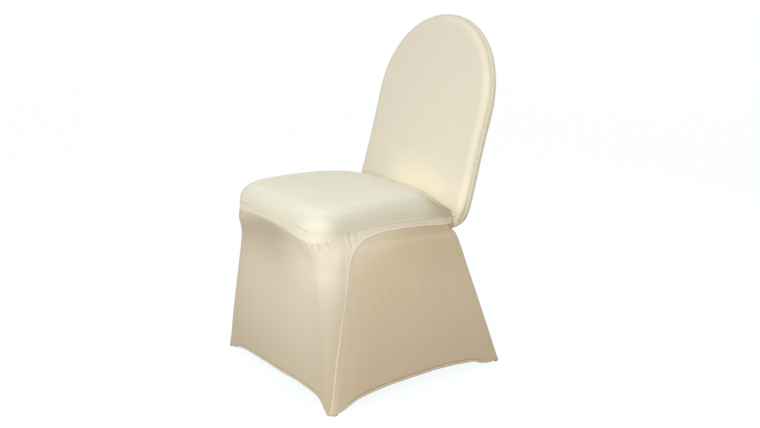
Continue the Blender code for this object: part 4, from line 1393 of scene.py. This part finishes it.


def stretch_cloth(name, light, deep, low, streaks, fall=SKIRT_FALL, pale=SEAM_LIGHT):
    """Spandex knit: its colour lies between two tones, and turns to a painted shade lower down."""
    material = bpy.data.materials.new(name)
    material.use_nodes = True
    tree = material.node_tree
    shader = tree.nodes["Principled BSDF"]
    flat = node(tree, "ShaderNodeUVMap", uv_map="cloth").outputs[0]
    place = node(tree, "ShaderNodeTexCoord").outputs["Object"]
    tone, shade = [node(tree, "ShaderNodeAttribute", attribute_name=key).outputs["Fac"]
                   for key in ("tone", "painted_shade")]
    streak, mottle, knit = [
        node(tree, "ShaderNodeGroup", {"Place": way}, node_tree=made).outputs[0]
        for made, way in ((streak_group, flat), (mottle_group, place), (knit_group, flat))]

    amount = math_node(tree, "ADD", math_node(tree, "MULTIPLY", streak, streaks),
                       math_node(tree, "MULTIPLY", mottle, 1 - streaks))
    # lower down, and down the seat's edge, a colour of painted shade takes over
    up = node(tree, "ShaderNodeSeparateXYZ", {0: place}).outputs["Z"]
    lowness = node(tree, "ShaderNodeMapRange", {"Value": up, 1: fall[0], 2: fall[1]},
                   interpolation_type="SMOOTHSTEP").outputs[0]
    lower = mixed(tree, amount, tuple(LOW_DEEP * part for part in low), low)
    colour = mixed(tree, lowness, mixed(tree, amount, deep, light), lower)
    # a positive tone mixes in the pale of turned edges and painted highlight, a negative one painted
    # shade
    raised_part = math_node(tree, "MAXIMUM", tone, 0.0, clamp=True)
    colour = mixed(tree, raised_part, colour, pale)
    sunk_part = math_node(tree, "MULTIPLY", tone, -1.0, clamp=True)
    colour = mixed(tree, sunk_part, colour, tuple(SEAM_SHADE * part for part in deep))
    # the painted shade value mixes in the colour of cloth that little light reaches
    tree.links.new(mixed(tree, shade, colour, HOLLOW), shader.inputs["Base Color"])

    soft = node(tree, "ShaderNodeBump", {
        "Height": streak, "Distance": STREAK_DEPTH, "Strength": STREAK_STRENGTH})
    fine = node(tree, "ShaderNodeBump", {
        "Height": knit, "Distance": KNIT_DEPTH, "Strength": KNIT_STRENGTH,
        "Normal": soft.outputs[0]})
    tree.links.new(fine.outputs[0], shader.inputs["Normal"])
    shader.inputs["Roughness"].default_value = ROUGHNESS
    shader.inputs["Sheen Weight"].default_value = SHEEN
    shader.inputs["Sheen Roughness"].default_value = SHEEN_ROUGHNESS
    return material


print("A rib is", 1000 * RIB, "mm wide and", round(1000 * KNIT_DEPTH, 3), "mm high")

# %% [markdown]
# The five cloths differ only in these values, which are lit and shaded copies of one cloth.
# The seat turns to its low colour, a painted shade, down the cushion's edge, and the back's
# painted light is warmer. The rear cloth is that of the outside back and the rear skirt,
# and the pockets are made of the sides' cloth.

# %% Five cloths
# The panels' colours differ by painted light and shade on the same cloth.
CLOTHS = {   # light, deep and low colour, and share of the streaks
    "seat": ((0.85, 0.845, 0.72), (0.82, 0.815, 0.68), (0.84, 0.80, 0.64), 0.3, SEAT_FALL),
    "back": ((0.78, 0.74, 0.625), (0.75, 0.71, 0.585), (0.75, 0.71, 0.585), 0.35,
             SKIRT_FALL, BACK_LIGHT),
    "rear": ((0.86, 0.81, 0.68), (0.82, 0.765, 0.63), (0.71, 0.62, 0.47), 0.45),
    "front": ((0.815, 0.745, 0.625), (0.765, 0.695, 0.572), (0.675, 0.583, 0.425), 0.6),
    "side": ((0.785, 0.67, 0.48), (0.735, 0.62, 0.43), (0.67, 0.56, 0.40), 0.6)}
cloths = {name: stretch_cloth(f"{name} cloth", *values) for name, values in CLOTHS.items()}
print("Materials:", [material.name for material in cloths.values()])

# %% [markdown]
# ## Dressing the frame
#
# Each panel now takes the place of its CAD node, and the size it was cut to is printed
# beside its stretched area. Stretch cloth is cut about a tenth smaller each way than the
# shape it is pulled over, so the flat areas are some five sixths of the stretched ones.
# The seat comes first, with a painted highlight at its front corners, painted shade on
# its rounded rim and painted shade near the back.

# %% Dress each panel, and make the seat
SEAT_HEART = (0, 0, 0.3)            # a point inside, which the cloth's faces look away from
SEAT_HOLLOW = (0.14, 0.56, 0.080)   # shade along the crease, at its ends, and its reach there
PALE_SEAT = (0.80, 0.060)           # painted highlight on the seat's front corners, and its reach
RIM_TONE = (-0.23, 0.030)           # painted shade that dims the seat's rounded rim, and its reach


def dress(piece, node_name, cloth, flat, area):
    """Give a panel its cloth and its body, hide its CAD node and print its flat size."""
    piece.data.materials.append(cloths[cloth])
    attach(piece, "root")
    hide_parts(node_name)
    used = sum(polygon.area for polygon in piece.data.polygons)
    print(f"{node_name}: cut {flat[0]} by {flat[1]} m, {area} m2 flat, {used:.4f} m2 stretched")


seat_piece = panel(
    "seat_cloth", [seat_points], [seat_flat], SEAT_HEART,
    [(seat_edge, SEAT_TONE, FLAT_RIDGE)], crease_edges, [(in_space, SEAT_FOLDS)],
    painted_shade=SEAT_HOLLOW,
    glow=[(seat_corner_edge, PALE_SEAT), (seat_rim, RIM_TONE), (side_rim, RIM_TONE)])
dress(seat_piece, "seat_panel", "seat", flat=(0.46, 0.46), area=0.177)

# %% [markdown]
# ### The back
#
# The inside back has painted warm light just above the crease, and a painted highlight
# beside its right edge. The outside back has painted shade beside the seam, where it turns
# away from the lamps.

# %% The two panels of the back
INSIDE_HEART, OUTSIDE_HEART = (0, 0.6, 0.6), (0, 0.1, 0.45)
BACK_HOLLOW = (0, 0.04, 0.03)
LOW_BACK = (0.60, 0.130)     # painted warm light on the inside back above the crease, and its reach
PALE_EDGE = (0.40, 0.032)    # painted highlight beside its right edge
HOOD_EDGE_TONE = (-0.30, 0.012)   # painted shade on the outside back beside the edge seam

inside_piece = panel(
    "inside_back_cloth", [hood_front_points], [spoke_flat(hood_front_points, UP_THE_BACK)],
    INSIDE_HEART, [], neck_edges + crease_edges, [(on_the_back, BACK_FOLDS)],
    painted_shade=BACK_HOLLOW,
    glow=[(crease_edges[0], LOW_BACK), (right_edge, PALE_EDGE), (pale_edge, PALE_EDGE)])
dress(inside_piece, "back_front_panel", "back", flat=(0.42, 0.50), area=0.169)

outside_piece = panel(
    "outside_back_cloth", [hood_rear_points], [spoke_flat(hood_rear_points, (0, 0, 1))],
    OUTSIDE_HEART, [], rear_edges, hems=[rear_places],
    glow=[(hood_edge, HOOD_EDGE_TONE)])
dress(outside_piece, "back_rear_panel", "rear", flat=(0.47, 0.91), area=0.330)

# %% [markdown]
# ### The skirts
#
# The front skirt has the ridges of the leg seams, the puckers, and the bulge below the
# seat's corners, with painted highlight on the corners and painted shade under the seat.
# The side skirts are a little lighter where the front skirt's turned edge lies behind them,
# and get painted light where the seam turns under the seat and beside the front legs.

# %% The skirts
SKIRT_HEART = (0, 0.05, 0.25)
FRONT_HOLLOW = (0, 0.30, 0.045)
SIDE_HOLLOW = (0, 0.33, 0.250)
ALLOWANCE = (0.12, 0.028)   # tone over the edge that is turned in at the top, and its width
PALE_TURN = (0.30, 0.090)   # painted light where the seam turns from the leg to the seat
LEG_GLOW = (0.14, 0.100)    # painted light beside the front leg

front_points = [dressed_skirt(places) for places in front_places]
front_piece = panel(
    "front_skirt_cloth", front_points,
    [skirt_flat(*pair) for pair in zip(front_points, front_places)], SKIRT_HEART,
    [(line, LEG_TONE, RIDGE_HEIGHT) for line in leg_edges]
    + [(line, STRIP_TONE, RIDGE_HEIGHT) for line in strip_edges], [seat_edge] + neck_edges,
    [(on_the_skirt, SKIRT_FOLDS), (on_the_skirt, NECK_FOLDS)], hems=front_places,
    painted_shade=FRONT_HOLLOW, bulge=True)
dress(front_piece, "front_skirt_panel", "front", flat=(0.90, 0.39), area=0.189)

for number, (side, places) in enumerate((("right", side_places),
                                         ("left", left_stations(side_places)))):
    points = dressed_skirt(places)
    side_piece = panel(
        f"side_skirt_cloth_{side}", [points], [skirt_flat(points, places)], SKIRT_HEART, [],
        [edges[number] for edges in (leg_edges, strip_edges, rear_edges)],
        [(on_the_skirt, NECK_FOLDS)], hems=[places], painted_shade=SIDE_HOLLOW,
        glow=[(strip_edges[number], ALLOWANCE), (turn_edges[number], PALE_TURN),
              (leg_edges[number], LEG_GLOW)])
    dress(side_piece, f"side_skirt_{side}", "side", flat=(0.50, 0.38), area=0.148)

# %% [markdown]
# ### The pockets
#
# Four cups of the side skirts' cloth. Their flat coordinates are the length round the rim
# and the length down the wall.

# %% The foot pockets
POCKET_HEART = np.array([0, 0, 0.01])   # a point inside the cup, from the middle of its sole

for place, near, far in (("front", 3.0, 4.0), ("rear", 1.0, 2.0)):
    for side, first, last in (("right", near, far), ("left", 10 - near, 10 - far)):
        grid = foot_pocket(first, last)
        lengths = pairs(path_length(grid[0]), path_length(grid[:, 0])[:, None])
        pocket = panel(f"foot_pocket_cloth_{place}_{side}", [grid], [lengths],
                       grid[-1, 0] + POCKET_HEART, [], [grid[0]])
        dress(pocket, f"foot_pocket_{place}_{side}", "side", flat=(0.034, 0.034), area=0.0008)

# %% [markdown]
# ## Floor
#
# The cover stands on a wide sheet of pale paper that is lit from behind, so that it looks
# almost white to the camera. On the cloth it throws only the weak warm light of plain
# paper, because the Light Path node tells the two kinds of ray apart.

# %% The floor
FLOOR_HALF = 40.0                   # half its width
FLOOR_SEEN = (0.09, 0.09, 0.09)     # the paper as the camera sees it, beside its glow
FLOOR_GLOW = (0.90, 0.93, 0.93)     # light from behind the paper, which only the camera sees
FLOOR_BOUNCE = (0.36, 0.33, 0.29)   # the paper as the cloth sees it
FLOOR_ROUGHNESS = 0.95
floor_mesh = bpy.data.meshes.new("floor")
floor_mesh.from_pydata([(x * FLOOR_HALF, y * FLOOR_HALF, 0) for x, y in (
    (-1, -1), (1, -1), (1, 1), (-1, 1))], [], [(0, 1, 2, 3)])
floor = added("floor", floor_mesh)
floor_material = bpy.data.materials.new("pale floor")
floor_material.use_nodes = True
tree = floor_material.node_tree
inputs = tree.nodes["Principled BSDF"].inputs
seen = node(tree, "ShaderNodeLightPath").outputs["Is Camera Ray"]
tree.links.new(mixed(tree, seen, FLOOR_BOUNCE, FLOOR_SEEN), inputs["Base Color"])
tree.links.new(mixed(tree, seen, (0, 0, 0), FLOOR_GLOW), inputs["Emission Color"])
inputs["Emission Strength"].default_value = 1.0
inputs["Roughness"].default_value = FLOOR_ROUGHNESS
floor_mesh.materials.append(floor_material)
print("The floor lies at z = 0")

# %% [markdown]
# ## Light
#
# Four large soft panels stand round the cover: one in front of its right corner, one in
# front, one to the right and one behind. The sky fills in evenly. The seat and the inside
# back face most of it and are the brightest, and the right side is the deepest.

# %% Soft light
AIM = np.array([0.08, -0.12, 0.36])   # the panels look at this point
SKY = 0.60
SKY_COLOUR = (1.0, 0.96, 0.90, 1)
BACKDROP = (0.97, 1.0, 1.0, 1)     # the wall behind, where the camera sees past the floor
PANELS = table(
    "turn   height away  size  watts",      # turned from the cover's front to its right side
    (34.0, 34.0, 1.80, 1.3, 13.2),
    (-10.0, 22.0, 2.40, 1.5, 11.3),
    (80.0, 20.0, 2.40, 1.5, 7.8),
    (175.0, 20.0, 2.40, 1.5, 7.0))


def direction(turned, height):
    """A direction turned from the cover's front to its right side, and raised."""
    return np.array([math.sin(turned) * math.cos(height), -math.cos(turned) * math.cos(height),
                     math.sin(height)])


def facing(place, back, roll=0.0):
    """Place of a lamp or camera with its back in a direction, and its roll.

    The columns of its rotation are its right, up and backward directions.
    """
    right = unit(np.cross((0, 0, 1), back))
    up = np.cross(back, right)
    columns = [math.cos(roll) * right + math.sin(roll) * up,
               math.cos(roll) * up - math.sin(roll) * right, back]
    turn = Matrix(np.stack(columns, -1).tolist()).to_4x4()
    return Matrix.Translation(place.tolist()) @ turn


for number, (turned, height, away, size, watts) in enumerate(zip(*PANELS.values())):
    light = bpy.data.lights.new(f"light panel {number + 1}", "AREA")
    light.size = size
    light.energy = watts
    back = direction(math.radians(turned), math.radians(height))
    added(light.name, light).matrix_world = facing(AIM + away * back, back)
world = bpy.data.worlds.new("studio")
world.use_nodes = True
tree = world.node_tree
sky = tree.nodes["Background"]
sky.inputs["Color"].default_value = SKY_COLOUR
sky.inputs["Strength"].default_value = SKY
backdrop = node(tree, "ShaderNodeBackground", {"Color": BACKDROP, "Strength": 1.0})
seen = node(tree, "ShaderNodeLightPath").outputs["Is Camera Ray"]
either = node(tree, "ShaderNodeMixShader", {0: seen, 1: sky.outputs[0], 2: backdrop.outputs[0]})
tree.links.new(either.outputs[0], tree.nodes["World Output"].inputs["Surface"])
bpy.context.scene.world = world
bpy.context.scene.view_settings.view_transform = "Standard"
print("Panels of light:", len(PANELS["turn"]), "and a sky of", SKY)

# %% [markdown]
# ## Camera
#
# The camera stands where the photograph was taken, which was worked out from the cover's
# own outline.

# %% The camera
CAMERA_PLACE = np.array([1.9471, -1.3711, 1.115]) - MIDDLE
CAMERA_YAW = math.radians(52.753)
CAMERA_PITCH = math.radians(16.269)
CAMERA_ROLL = math.radians(1.363)
CAMERA_LENS = 44.72       # in millimetres, like the width of the sensor behind it
CAMERA_SENSOR = 36
camera_data = bpy.data.cameras.new("camera")
camera_data.lens = CAMERA_LENS
camera_data.sensor_width = CAMERA_SENSOR
camera = added("camera", camera_data)
camera.matrix_world = facing(CAMERA_PLACE, direction(CAMERA_YAW, CAMERA_PITCH), CAMERA_ROLL)
bpy.context.scene.camera = camera
print("The camera stands", round(float(np.linalg.norm(CAMERA_PLACE)), 2), "m away")
